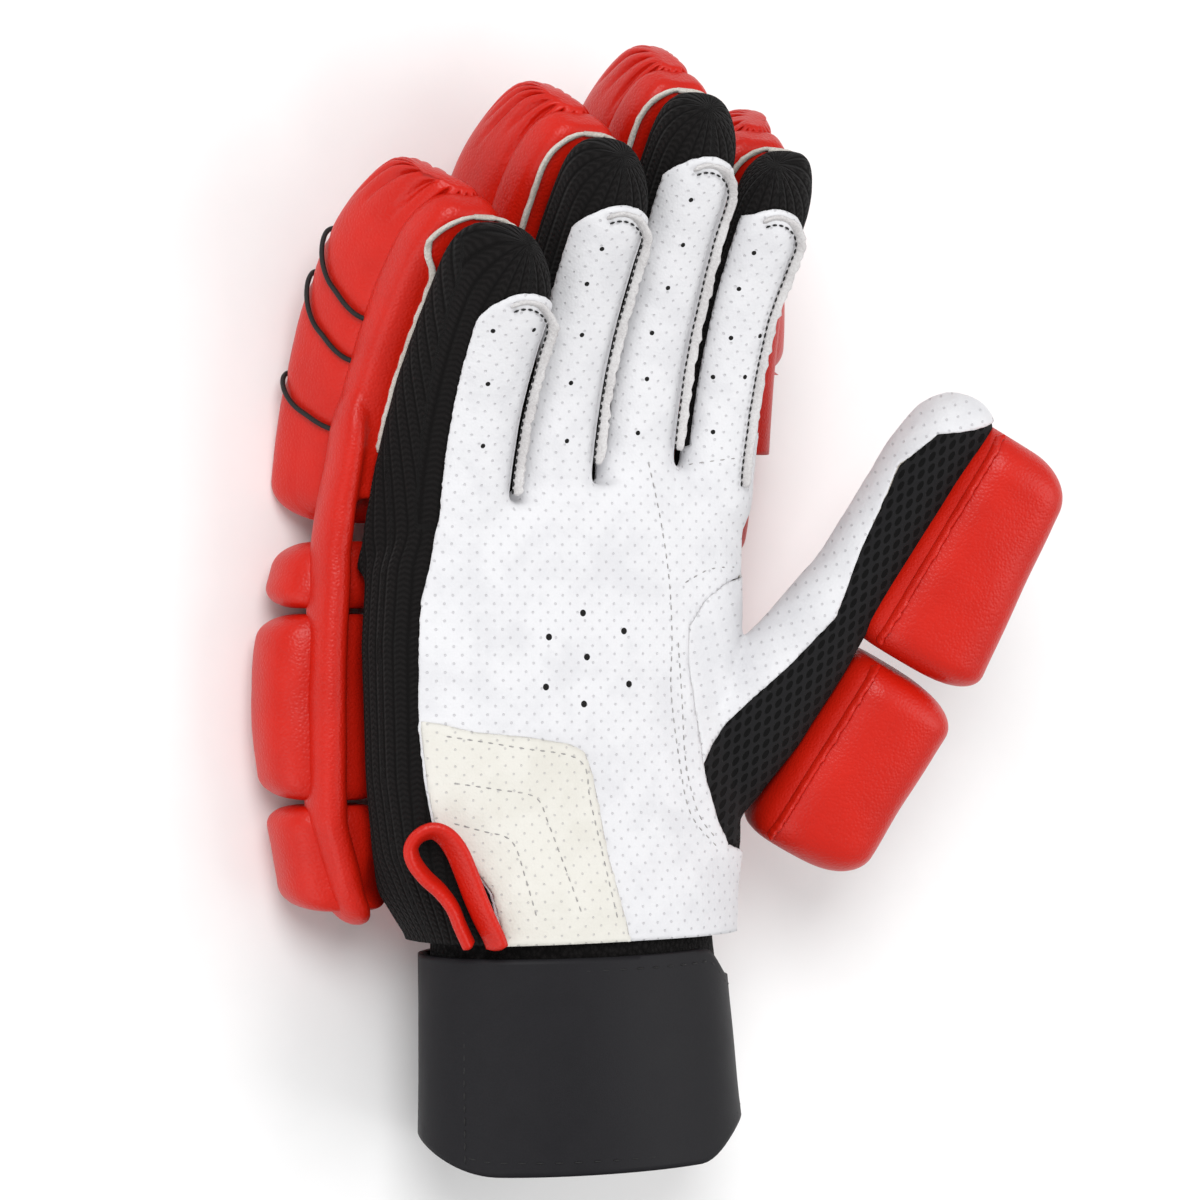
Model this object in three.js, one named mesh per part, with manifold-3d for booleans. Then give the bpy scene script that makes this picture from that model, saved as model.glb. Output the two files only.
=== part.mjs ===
// Cricket batting glove for the right hand, millimetres, +Z up.
// It lies on the pads of its back: the palm faces up, the fingers point along +Y, the thumb is at +X.
import * as THREE from 'three';
import { mergeVertices } from 'three/addons/utils/BufferGeometryUtils.js';
import Module from 'manifold-3d';

const wasm = await Module();
wasm.setup();

// Walls and clearance
const gap = 0.3;
const coverWall = 1.7;
const patchWall = 1.1;
const cuffWall = 2.4;
const strapWall = 2.4;

// Hand: the palm runs from the wrist edge to the finger roots
const wristEdge = 2;
const palmLength = 117;
const palmWidth = 96;
const palmCentre = -13;
const handDepth = 28.5;
const blockHeight = 23.5;
const palmHeight = blockHeight + handDepth;
const rootSlant = 0.2;
const overrun = 9;

// Wrist: an oval tube round the wrist, and the strap over it
const wristHalfWidth = 36.4;
const wristHalfDepth = 20.6;
const wristCentreX = -8.4;
const wristShift = 3;
const wristCentreZ = 36;
const wristFlare = 3;
const cuffLength = 58;
const cuffOverlap = 10;
const strapWidth = 52;
const strapBelowPalm = 2.5;
const tabWall = 2.2;
const tabSink = 0.4;
const tabFrom = 166;
const tabTo = 40;
const tabCorner = 11;

// Fingers
const fingerWidth = 21.2;
const fingerDepth = 19.5;
const fingerLength = 92;
const fingerDrop = 1.9;
const fingerInset = 8;
const backLean = 0.5;
const leatherInset = 0.5;
const leatherTip = 3.2;
const bandHeight = 13.5;
const rollHeight = 21.5;
const rollWidth = 31.2;
const rollGap = 1.4;
const rollTip = 2;
const bandSink = 2;
const rollSink = 4;
const cordDiameter = 1.8;

// Side bar and pull loop on the little finger side
const barWidth = 9;
const barHeight = 14;
const loopLength = 31;
const loopBreadth = 17;
const loopStrip = 9;
const loopWall = 2;
const loopEnd = 0.24;

// Thumb
const thumbLength = 127;
const thumbWidth = 23;
const thumbDepth = 19;
const thumbInset = 4;
const thumbTip = 2;
const padWidth = 37;
const padHeight = 30;
const padGap = 1.6;

// The face that the glove rests on is centred below this point of the hand
const restLine = 60;

// Rounded ends: how long each rounding is, and how much of the outline is left at its end
const rounds = {
  finger: { start: 0, end: 9, blunt: 0.34 },
  thumb: { start: 0, end: 11, blunt: 0.34 },
  fingerLeather: { start: 0, end: 10.6, blunt: 0.3 },
  band: { start: 0, end: 15, blunt: 0.45 },
  roll: { start: 5, end: 29, blunt: 0.3 },
  bar: { start: 5, end: 4, blunt: 0.6 },
  block: { start: 5, end: 5, blunt: 0.68 },
  basePad: { start: 8, end: 6, blunt: 0.66 },
  tipPad: { start: 6, end: 8, blunt: 0.66 },
};

const colours = {
  leather: { color: 0xecebee, roughness: 0.55 },
  patch: { color: 0xe9e6da, roughness: 0.6 },
  knit: { color: 0x141313, roughness: 0.95 },
  cover: { color: 0xd72715, roughness: 0.42 },
  strap: { color: 0x262528, roughness: 0.5 },
  cord: { color: 0x0c0c0c, roughness: 0.6 },
};

const radians = THREE.MathUtils.degToRad;
const mix = THREE.MathUtils.lerp;

// Rows of a table with named columns
function tableOf(names, rows) {
  return rows.map((row) => Object.fromEntries(row.map((value, i) => [names[i], value])));
}

// Read a table of rows at a place between two of them
function readRows(rows, key, place) {
  const next = rows.findIndex((row) => row[key] >= place);
  if (next <= 0) {
    return { ...rows[next === 0 ? 0 : rows.length - 1] };
  }
  const a = rows[next - 1];
  const b = rows[next];
  const share = (place - a[key]) / (b[key] - a[key]);
  const row = {};
  for (const name of Object.keys(a)) {
    row[name] = mix(a[name], b[name], share);
  }
  return row;
}

// Stations along a piece, closer together where its ends are rounded
function stationsOf(from, to, steps, round) {
  const list = [];
  const capSteps = 2;
  const { start: startRound, end: endRound, blunt } = round;
  const startSteps = startRound > 0 ? capSteps : 0;
  const endSteps = endRound > 0 ? capSteps : 0;
  for (let i = 0; i < startSteps; i += 1) {
    const a = (i / capSteps) * Math.PI * 0.5;
    list.push({ at: from + startRound * (1 - Math.cos(a)), scale: blunt + (1 - blunt) * Math.sin(a) });
  }
  const inner = to - endRound - (from + startRound);
  for (let i = 0; i <= steps; i += 1) {
    list.push({ at: from + startRound + (inner * i) / steps, scale: 1 });
  }
  for (let i = endSteps - 1; i >= 0; i -= 1) {
    const a = (i / capSteps) * Math.PI * 0.5;
    list.push({ at: to - endRound * (1 - Math.cos(a)), scale: blunt + (1 - blunt) * Math.sin(a) });
  }
  return list;
}

// One point of a soft rounded outline: turn goes round it, grow makes it fatter all round
function outlinePoint(row, turn, reach, scale, grow) {
  const power = 2 / row.square;
  const c = Math.round(Math.cos(turn) * 1e6) / 1e6;
  const s = Math.round(Math.sin(turn) * 1e6) / 1e6;
  const across = Math.sign(c) * Math.abs(c) ** power * reach;
  const facing = Math.sign(s) * Math.abs(s) ** power * reach;
  const share = (1 - facing) * 0.5;
  const half = mix(row.frontHalf, row.backHalf, share) * scale + grow;
  const shift = mix(row.frontShift, row.backShift, share);
  const pivot = row.start + row.depth * row.pivot;
  const deep = row.start + row.depth * share;
  const flat = row.keepDepth ? 1 : scale;
  return [shift + across * half, pivot + (deep - pivot) * flat - grow * facing];
}

// Turn a geometry into a solid
function solidOf(geometry) {
  const bare = geometry.clone();
  bare.deleteAttribute('normal');
  bare.deleteAttribute('uv');
  const merged = mergeVertices(bare, 1e-4);
  const place = merged.getAttribute('position');
  const triVerts = new Uint32Array(merged.getIndex().array);
  const a = new THREE.Vector3();
  const b = new THREE.Vector3();
  const c = new THREE.Vector3();
  let volume = 0;
  for (let i = 0; i < triVerts.length; i += 3) {
    a.fromBufferAttribute(place, triVerts[i]);
    b.fromBufferAttribute(place, triVerts[i + 1]);
    c.fromBufferAttribute(place, triVerts[i + 2]);
    volume += a.dot(b.cross(c));
  }
  if (volume < 0) {
    for (let i = 0; i < triVerts.length; i += 3) {
      const swap = triVerts[i + 1];
      triVerts[i + 1] = triVerts[i + 2];
      triVerts[i + 2] = swap;
    }
  }
  const vertProperties = new Float32Array(place.array);
  return new wasm.Manifold(new wasm.Mesh({ numProp: 3, vertProperties, triVerts }));
}

// A soft solid along a line: frameAt gives the line, rowAt the outline there
function sweep({ frameAt, rowAt, stations, around, grow = 0 }) {
  const levels = stations.length - 1;
  const geometry = new THREE.CylinderGeometry(1, 1, 1, around, levels);
  const place = geometry.getAttribute('position');
  const v = new THREE.Vector3();
  for (let i = 0; i < place.count; i += 1) {
    v.fromBufferAttribute(place, i);
    const station = stations[Math.round((v.y + 0.5) * levels)];
    const reach = Math.hypot(v.x, v.z);
    const frame = frameAt(station.at);
    const row = { square: 2, pivot: 0.5, frontShift: 0, backShift: 0, ...rowAt(station.at) };
    const [side, deep] = outlinePoint(row, Math.atan2(v.z, v.x), reach, station.scale, grow);
    v.copy(frame.at).addScaledVector(frame.side, side).addScaledVector(frame.back, deep);
    place.setXYZ(i, v.x, v.y, v.z);
  }
  return solidOf(geometry);
}

// A plate bent by a function of its two shares and its level
function plate(across, along, bend) {
  const geometry = new THREE.BoxGeometry(1, 1, 1, across, along, 1);
  const place = geometry.getAttribute('position');
  const v = new THREE.Vector3();
  for (let i = 0; i < place.count; i += 1) {
    v.fromBufferAttribute(place, i);
    v.copy(bend(v.x + 0.5, v.y + 0.5, v.z + 0.5));
    place.setXYZ(i, v.x, v.y, v.z);
  }
  return solidOf(geometry);
}

// A square-edged solid along a line, its sides given by left, right, near and far
function slab({ frameAt, rowAt, stations }) {
  const levels = stations.length - 1;
  const geometry = new THREE.BoxGeometry(1, 1, 1, 1, levels, 1);
  const place = geometry.getAttribute('position');
  const v = new THREE.Vector3();
  for (let i = 0; i < place.count; i += 1) {
    v.fromBufferAttribute(place, i);
    const station = stations[Math.round((v.y + 0.5) * levels)];
    const frame = frameAt(station.at);
    const row = rowAt(station.at, station);
    const side = v.x < 0 ? row.left : row.right;
    const deep = v.z < 0 ? row.near : row.far;
    v.copy(frame.at).addScaledVector(frame.side, side).addScaledVector(frame.back, deep);
    place.setXYZ(i, v.x, v.y, v.z);
  }
  return solidOf(geometry);
}

function box(low, high) {
  const size = new THREE.Vector3().subVectors(high, low);
  const geometry = new THREE.BoxGeometry(size.x, size.y, size.z);
  const middle = new THREE.Vector3().addVectors(low, high).multiplyScalar(0.5);
  geometry.translate(middle.x, middle.y, middle.z);
  return solidOf(geometry);
}

function joinAll(solids) {
  return solids.reduce((whole, solid) => whole.add(solid));
}

// Finger lines: root place, spread, bend at the root and at the tip, length, lean of the padding, where
// the roll parts from the blocks, and how far the knit stands out beside the finger. Lengths are shares
// of the finger length, the finger width, the palm width or the palm length.
const fingers = tableOf(
  ['name', 'x', 'y', 'spread', 'root', 'tip', 'length', 'lean', 'tipLean', 'break', 'gusset'],
  [
    ['little', -0.3, 0.82, 0, 4, 45, 0.735, -0.46, -0.34, 0.838, 0.42],
    ['ring', -0.064, 0.888, 0.8, 4, 42, 0.89, -0.24, -0.17, 0.94, 0],
    ['middle', 0.178, 0.922, 0.8, 4, 39, 0.985, 0, -0.02, 1.04, 0],
    ['index', 0.408, 0.905, 1.5, 4, 36, 0.87, 0.62, 0.16, 1.137, 0],
  ],
);

// The centre line of a finger's front
function fingerFrame(finger, s) {
  const length = finger.length * fingerLength;
  const spread = radians(finger.spread);
  const first = radians(finger.root);
  const last = radians(finger.tip);
  const rate = (last - first) / length;
  const inside = THREE.MathUtils.clamp(s, 0, length);
  const slope = first + rate * inside;
  const over = s - inside;
  const level = (Math.sin(slope) - Math.sin(first)) / rate + over * Math.cos(slope);
  const rise = (Math.cos(first) - Math.cos(slope)) / rate + over * Math.sin(slope);
  const at = new THREE.Vector3(
    palmCentre + finger.x * palmWidth + Math.sin(spread) * level,
    wristEdge + finger.y * palmLength + Math.cos(spread) * level,
    palmHeight - fingerDrop + rise,
  );
  const side = new THREE.Vector3(Math.cos(spread), -Math.sin(spread), 0);
  const back = new THREE.Vector3(
    Math.sin(spread) * Math.sin(slope),
    Math.cos(spread) * Math.sin(slope),
    -Math.cos(slope),
  );
  return { at, side, back };
}

// Where along a finger's line a place of the palm lies
function alongFinger(finger, y) {
  let s = 0;
  for (let i = 0; i < 12; i += 1) {
    s += y - fingerFrame(finger, s).at.y;
  }
  return s;
}

// A finger's knit sleeve starts a little past the finger roots
function sleeveStart(finger) {
  return alongFinger(finger, wristEdge + palmLength + finger.x * palmWidth * 0.2);
}

// How far the knit stands out beside a finger: widest at the root
function gussetOf(finger, s) {
  const share = THREE.MathUtils.clamp(s / (finger.length * fingerLength), 0, 1);
  return finger.gusset * fingerWidth * mix(1, 0.35, share);
}

// The tube that the finger fills; behind the root it sinks into the palm
function fingerTube(finger, grow, from) {
  const length = finger.length * fingerLength;
  const stations = stationsOf(sleeveStart(finger), length, 3, rounds.finger);
  stations[stations.length - 1].at += grow;
  if (from < stations[0].at) {
    stations.unshift({ at: from, scale: 1 });
  }
  return sweep({
    frameAt: (s) => fingerFrame(finger, s),
    rowAt: (s) => ({
      frontHalf: fingerWidth * 0.5,
      backHalf: fingerWidth * 0.54 + gussetOf(finger, s) * 0.5,
      backShift: finger.lean * fingerDepth * backLean - gussetOf(finger, s) * 0.5,
      start: THREE.MathUtils.clamp(-s / (fingerInset * 0.75), 0, 1) * fingerDepth * 0.16,
      depth: fingerDepth * mix(1.1, 1, THREE.MathUtils.clamp(s / length, 0, 1)),
      square: 2.7,
    }),
    stations,
    around: grow < 0 ? 8 : 10,
    grow,
  });
}

// Sections of the hand from the wrist to the finger roots: places are shares of the palm length,
// sides are shares of the palm width, front and back are shares of the hand depth.
const handRows = tableOf(
  ['y', 'frontLeft', 'frontRight', 'backLeft', 'backRight', 'front', 'back', 'square', 'full'],
  [
    [0.0, -0.375, 0.495, -0.42, 0.5, 0.26, -0.37, 2.5, 1],
    [0.1, -0.4, 0.5, -0.53, 0.51, 0.23, -0.34, 2.6, 1],
    [0.18, -0.44, 0.51, -0.56, 0.54, 0.14, -0.12, 2.7, 1],
    [0.34, -0.49, 0.51, -0.57, 0.56, 0.04, -0.02, 2.9, 1],
    [0.62, -0.505, 0.49, -0.58, 0.585, 0.0, 0.0, 3, 1],
    [0.86, -0.49, 0.5, -0.57, 0.6, -0.02, 0.02, 3, 1],
    [0.97, -0.45, 0.495, -0.52, 0.59, -0.05, 0.06, 2.8, 1],
    [1.0, -0.44, 0.49, -0.5, 0.58, -0.06, 0.08, 2.8, 0.8],
  ],
);

function handFrame(y) {
  const share = THREE.MathUtils.clamp((y - wristEdge) / palmLength, 0, 1);
  const lean = rootSlant * THREE.MathUtils.smoothstep(share, 0.55, 1);
  return {
    at: new THREE.Vector3(palmCentre, y - lean * palmWidth * 0.12, 0),
    side: new THREE.Vector3(1, lean, 0),
    back: new THREE.Vector3(0, 0, -1),
  };
}

function handRow(y) {
  const row = readRows(handRows, 'y', (y - wristEdge) / palmLength);
  const front = palmHeight + row.front * handDepth;
  const back = blockHeight + row.back * handDepth;
  return {
    frontHalf: (row.frontRight - row.frontLeft) * palmWidth * 0.5,
    backHalf: (row.backRight - row.backLeft) * palmWidth * 0.5,
    frontShift: (row.frontRight + row.frontLeft) * palmWidth * 0.5,
    backShift: (row.backRight + row.backLeft) * palmWidth * 0.5,
    start: -front,
    depth: front - back,
    square: row.square,
  };
}

function handBody(grow, from) {
  const stations = handRows.map((row) => ({ at: wristEdge + row.y * palmLength, scale: row.full }));
  stations[stations.length - 1].at += grow;
  if (from < wristEdge) {
    stations.unshift({ at: from, scale: 1 });
  }
  return sweep({
    frameAt: handFrame,
    rowAt: handRow,
    stations,
    around: grow < 0 ? 12 : 18,
    grow,
  });
}

// Thumb line: it leaves the wrist side of the palm and rises over the index side
const thumbRoot = new THREE.Vector3(
  palmCentre + palmWidth * 0.5,
  wristEdge + palmLength * 0.197,
  blockHeight + handDepth * 0.3,
);
const thumbAlong = new THREE.Vector3(0.41, 0.85, 0.34).normalize();
const thumbBack = new THREE.Vector3(0.85, -0.475, 0.14);
thumbBack.addScaledVector(thumbAlong, -thumbBack.dot(thumbAlong)).normalize();
const thumbSide = new THREE.Vector3().crossVectors(thumbAlong, thumbBack).normalize();

function thumbFrame(s) {
  const at = new THREE.Vector3().copy(thumbRoot).addScaledVector(thumbAlong, s);
  return { at, side: thumbSide, back: thumbBack };
}

// Sections of the thumb: along is a share of the thumb length, front and back are shares of its depth
const thumbRows = [
  { along: 0.0, front: -1.3, back: 0.1, half: 0.5 },
  { along: 0.25, front: -1.2, back: 0.3, half: 0.58 },
  { along: 0.43, front: -0.92, back: 0.3, half: 0.54 },
  { along: 0.6, front: -0.74, back: 0.24, half: 0.5 },
  { along: 0.85, front: -0.76, back: 0.26, half: 0.5 },
  { along: 1.0, front: -0.66, back: 0.42, half: 0.48 },
];

function thumbTube(grow) {
  const stations = stationsOf(-thumbInset, thumbLength + thumbTip, grow < 0 ? 3 : 4, rounds.thumb);
  stations[stations.length - 1].at += grow;
  return sweep({
    frameAt: thumbFrame,
    rowAt: (s) => {
      const row = readRows(thumbRows, 'along', s / thumbLength);
      return {
        frontHalf: thumbWidth * row.half,
        backHalf: thumbWidth * row.half,
        start: row.front * thumbDepth,
        depth: (row.back - row.front) * thumbDepth,
        square: 2.5,
      };
    },
    stations,
    around: grow < 0 ? 8 : 12,
    grow,
  });
}

// Wrist tube and strap: an oval tube that widens away from the hand, mostly on the thumb side
function wristMiddle(y) {
  return wristCentreX + wristShift * THREE.MathUtils.clamp((wristEdge - y) / strapWidth, 0, 1.2);
}

function wristOval(grow, from, to) {
  const places = [from, wristEdge - strapWidth * 1.2, wristEdge, to].filter((y) => y >= from && y <= to);
  return sweep({
    frameAt: (y) => ({
      at: new THREE.Vector3(wristMiddle(y), y, wristCentreZ),
      side: new THREE.Vector3(1, 0, 0),
      back: new THREE.Vector3(0, 0, -1),
    }),
    rowAt: (y) => {
      const flare = wristFlare * THREE.MathUtils.clamp((wristEdge - y) / strapWidth, 0, 1.2);
      return {
        frontHalf: wristHalfWidth + flare,
        backHalf: wristHalfWidth + flare,
        start: -wristHalfDepth - flare * 0.5,
        depth: wristHalfDepth * 2 + flare,
      };
    },
    stations: places.map((y) => ({ at: y, scale: 1 })),
    around: 24,
    grow,
  });
}

const cuffEnd = wristEdge + cuffOverlap;

function wholeHand(grow, from) {
  const tubes = fingers.map((finger) => fingerTube(finger, grow, -fingerInset));
  return joinAll([handBody(grow, from), ...tubes, thumbTube(grow)]);
}

// The hand's cover is hollow and open at the wrist
const hollow = wholeHand(-coverWall, wristEdge - overrun).add(
  wristOval(gap, wristEdge - overrun, cuffEnd + gap),
);
const cover = wholeHand(0, wristEdge).subtract(hollow);
const clearOfHand = wholeHand(gap, wristEdge);

// Edges of the palm leather: left and right are shares of the palm width, y of the palm length
const leatherRows = [
  { y: -0.03, left: -0.25, right: 0.56 },
  { y: 0.11, left: -0.297, right: 0.56 },
  { y: 0.155, left: -0.333, right: 0.56 },
  { y: 0.187, left: -0.375, right: 0.42 },
  { y: 0.24, left: -0.425, right: 0.382 },
  { y: 0.325, left: -0.445, right: 0.352 },
  { y: 0.44, left: -0.46, right: 0.328 },
  { y: 0.58, left: -0.46, right: 0.298 },
  { y: 0.65, left: -0.458, right: 0.306 },
  { y: 0.7, left: -0.455, right: 0.36 },
  { y: 0.73, left: -0.453, right: 0.44 },
  { y: 0.745, left: -0.452, right: 0.56 },
  { y: 0.88, left: -0.435, right: 0.56 },
  { y: 1.03, left: -0.42, right: 0.56 },
];

function leatherRow(y, grow) {
  const row = readRows(leatherRows, 'y', (y - wristEdge) / palmLength);
  return { left: row.left * palmWidth - grow, right: row.right * palmWidth + grow };
}

function palmRegion(grow) {
  return slab({
    frameAt: handFrame,
    rowAt: (y) => ({
      ...leatherRow(y, grow),
      near: -palmHeight - handDepth,
      far: -palmHeight + handDepth * 0.28 + grow,
    }),
    stations: leatherRows.map((row) => ({ at: wristEdge + row.y * palmLength })),
  });
}

function fingerRegion(finger, grow) {
  const length = finger.length * fingerLength;
  const half = fingerWidth * 0.5 - leatherInset + grow;
  return slab({
    frameAt: (s) => fingerFrame(finger, s),
    rowAt: (s, station) => ({
      left: -half * station.scale,
      right: half * station.scale,
      near: -fingerDepth * 0.5,
      far: fingerDepth * 0.22 + grow,
    }),
    stations: stationsOf(-fingerInset * 0.75, length - leatherTip + grow, 4, rounds.fingerLeather),
  });
}

function leatherRegion(grow) {
  return joinAll([palmRegion(grow), ...fingers.map((finger) => fingerRegion(finger, grow))]);
}

// The thumb piece of the cover lies beside the palm leather's edge and above the back of the hand
const thumbZoneRows = leatherRows
  .filter((row) => row.right < leatherRows[0].right)
  .map((row) => ({ y: row.y, left: row.right }))
  .concat([
    { y: 0.742, left: 0.612 },
    { y: 1.5, left: 0.612 },
  ]);

function thumbZone(grow) {
  const clear = gap - grow;
  return slab({
    frameAt: handFrame,
    rowAt: (y) => ({
      left: readRows(thumbZoneRows, 'y', (y - wristEdge) / palmLength).left * palmWidth + clear,
      right: palmWidth * 1.8,
      near: -palmHeight * 3,
      far: -blockHeight - handDepth * 0.18 + grow,
    }),
    stations: thumbZoneRows.map((row) => ({ at: wristEdge + row.y * palmLength })),
  });
}

// Where the thumb's leather front meets its mesh: along is a share of the length, edge of the depth
const thumbEdgeRows = [
  { along: -0.2, edge: -1.1 },
  { along: 0.17, edge: -1.0 },
  { along: 0.285, edge: -0.8 },
  { along: 0.38, edge: -0.6 },
  { along: 0.51, edge: -0.4 },
  { along: 0.65, edge: -0.56 },
  { along: 0.83, edge: -0.68 },
  { along: 0.92, edge: -0.5 },
  { along: 0.965, edge: -0.1 },
  { along: 1.0, edge: 0.2 },
  { along: 1.1, edge: 0.2 },
];

function thumbFront(grow) {
  return slab({
    frameAt: thumbFrame,
    rowAt: (s) => ({
      left: -palmWidth,
      right: palmWidth,
      near: -palmWidth,
      far: readRows(thumbEdgeRows, 'along', s / thumbLength).edge * thumbDepth + grow,
    }),
    stations: thumbEdgeRows.map((row) => ({ at: row.along * thumbLength })),
  });
}

const leather = leatherRegion(0);
const besideLeather = leatherRegion(gap);
const thumbPart = cover.intersect(thumbZone(0)).subtract(besideLeather);
const sleeves = fingers.map((finger) => {
  const from = sleeveStart(finger);
  const inside = fingerTube(finger, -coverWall, from - overrun);
  return fingerTube(finger, 0, from).subtract(inside).subtract(besideLeather);
});
const knitHand = handBody(0, wristEdge)
  .add(thumbTube(0))
  .subtract(hollow)
  .subtract(besideLeather)
  .subtract(thumbZone(gap))
  .subtract(joinAll(fingers.map((finger) => fingerTube(finger, gap, sleeveStart(finger) - gap))));

// The wear patch lies on the leather at the heel of the palm
const patchRows = [
  { y: -0.05, left: -0.22, right: 0.06 },
  { y: 0.03, left: -0.24, right: 0.075 },
  { y: 0.11, left: -0.28, right: 0.05 },
  { y: 0.175, left: -0.345, right: 0.03 },
  { y: 0.24, left: -0.4, right: 0.01 },
  { y: 0.36, left: -0.43, right: -0.012 },
  { y: 0.4, left: -0.435, right: -0.05 },
  { y: 0.41, left: -0.436, right: -0.16 },
];

const patchRegion = slab({
  frameAt: (y) => ({
    at: new THREE.Vector3(palmCentre, y, 0),
    side: new THREE.Vector3(1, -0.07, 0),
    back: new THREE.Vector3(0, 0, -1),
  }),
  rowAt: (y) => {
    const row = readRows(patchRows, 'y', (y - wristEdge) / palmLength);
    return {
      left: row.left * palmWidth,
      right: row.right * palmWidth,
      near: -palmHeight * 1.5,
      far: -blockHeight * 1.6,
    };
  },
  stations: patchRows.map((row) => ({ at: wristEdge + row.y * palmLength })),
});
const heelPatch = handBody(gap + patchWall, wristEdge)
  .subtract(handBody(gap, wristEdge))
  .intersect(patchRegion);

// Padding of a finger: a band round the finger's back edge carries a thick roll
function padShift(finger, deep, s) {
  const share = THREE.MathUtils.clamp(s / (finger.length * fingerLength), 0, 1);
  return mix(finger.lean, finger.tipLean, share * share) * deep;
}

function padTaper(finger, s) {
  const share = THREE.MathUtils.clamp(s / (finger.length * fingerLength), 0, 1);
  return 1 - 0.2 * share ** 3;
}

function bandSolid(finger, grow) {
  const length = finger.length * fingerLength;
  const first = alongFinger(finger, wristEdge + palmLength * 0.94 + finger.x * palmWidth * 0.2);
  const start = fingerDepth + gap - bandSink;
  return sweep({
    frameAt: (s) => fingerFrame(finger, s),
    rowAt: (s) => ({
      frontHalf: fingerWidth * 0.56,
      backHalf: rollWidth * 0.45 * padTaper(finger, s),
      frontShift: padShift(finger, start, s) - gussetOf(finger, s) * 0.7,
      backShift: padShift(finger, start + bandHeight, s) * 0.88,
      start,
      depth: bandHeight + bandSink,
      square: 4.5,
    }),
    stations: stationsOf(first - grow, length + rollTip + grow, 3, rounds.band),
    around: 10,
    grow,
  });
}

// The outline of a finger's roll: its front lies on the band, its back stands out
function rollRow(finger, s) {
  const start = handDepth - rollSink;
  const end = fingerDepth + bandHeight + rollHeight;
  return {
    frontHalf: rollWidth * 0.5 * padTaper(finger, s),
    backHalf: rollWidth * 0.38 * padTaper(finger, s),
    frontShift: padShift(finger, start, s),
    backShift: padShift(finger, end, s),
    start,
    depth: end - start,
    square: 2.7,
    pivot: 0.22,
  };
}

function rollSolid(finger, grow) {
  const from = alongFinger(finger, wristEdge + finger.break * palmLength) + rollGap * 0.5;
  const to = finger.length * fingerLength + rollTip + 1;
  return sweep({
    frameAt: (s) => fingerFrame(finger, s),
    rowAt: (s) => rollRow(finger, s),
    stations: stationsOf(from, to, 3, rounds.roll),
    around: 12,
    grow,
  });
}

// The bar on the little finger side runs from the finger's band down to the wrist
const barRows = [
  { y: 0.03, x: -0.5, z: 0.92 },
  { y: 0.1, x: -0.545, z: 0.98 },
  { y: 0.25, x: -0.6, z: 1.03 },
  { y: 0.5, x: -0.61, z: 1.08 },
  { y: 0.8, x: -0.595, z: 1.1 },
  { y: 0.99, x: -0.575, z: 1.12 },
];

function barSolid(grow) {
  const from = wristEdge + palmLength * barRows[0].y;
  const to = wristEdge + palmLength * barRows[barRows.length - 1].y;
  return sweep({
    frameAt: (y) => {
      const row = readRows(barRows, 'y', (y - wristEdge) / palmLength);
      return {
        at: new THREE.Vector3(palmCentre + row.x * palmWidth, y, row.z * blockHeight),
        side: new THREE.Vector3(1, 0, 0),
        back: new THREE.Vector3(0, 0, -1),
      };
    },
    rowAt: () => ({
      frontHalf: barWidth * 0.5,
      backHalf: barWidth * 0.5,
      start: -barHeight * 0.5,
      depth: barHeight,
      square: 2.6,
    }),
    stations: stationsOf(from - grow, to + grow, 6, rounds.bar),
    around: 8,
    grow,
  });
}

// Blocks under the back of the hand, in one column for each finger. Wrist, middle and knuckle are the
// column's place across the hand there, in palm widths; low, split and knuckles are places along the palm.
const columns = tableOf(
  ['name', 'wrist', 'middle', 'knuckle', 'low', 'split', 'knuckles', 'rise'],
  [
    ['little', -0.52, -0.585, -0.495, 0.055, 0.287, 0.686, 0.08],
    ['ring', -0.208, -0.24, -0.163, 0.013, 0.275, 0.72, 0],
    ['middle', 0.104, 0.104, 0.175, 0.013, 0.275, 0.75, 0],
    ['index', 0.41, 0.447, 0.55, 0.06, 0.295, 0.79, 0.06],
  ],
);

function columnMiddle(column, y) {
  const share = (y - wristEdge) / palmLength;
  const lower = mix(column.wrist, column.middle, THREE.MathUtils.smoothstep(share, 0, 0.5));
  return palmCentre + palmWidth * mix(lower, column.knuckle, THREE.MathUtils.smoothstep(share, 0.55, 0.95));
}

function blockSolid(column, from, to) {
  return sweep({
    frameAt: (y) => ({
      at: new THREE.Vector3(columnMiddle(column, y), y, 0),
      side: new THREE.Vector3(1, 0, 0),
      back: new THREE.Vector3(0, 0, -1),
    }),
    rowAt: (y) => {
      const narrow = THREE.MathUtils.smoothstep((y - wristEdge) / palmLength, 0, 0.4);
      const half = rollWidth * mix(0.44, 0.5, narrow);
      return {
        frontHalf: half,
        backHalf: half * 0.9,
        start: -blockHeight * 1.12,
        depth: blockHeight * (1.16 - column.rise),
        square: 3,
        pivot: 0.15,
      };
    },
    stations: stationsOf(from, to, 1, rounds.block),
    around: 10,
  });
}

// The floor trims the padding flat where the glove rests
const floor = box(
  new THREE.Vector3(-palmWidth * 2, -palmLength, -palmHeight),
  new THREE.Vector3(palmWidth * 2, palmLength * 3, 0),
);

// A thumb pad: from and to are shares of the thumb length, the others are shares of its width
const thumbPads = tableOf(
  ['name', 'from', 'to', 'start', 'depth', 'taper', 'round'],
  [
    ['thumb_base_pad', 0.045, 0.478, 0.22, 1.12, 1, rounds.basePad],
    ['thumb_tip_pad', 0.49, 0.995, 0.02, 1.28, 0.76, rounds.tipPad],
  ],
);

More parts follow.
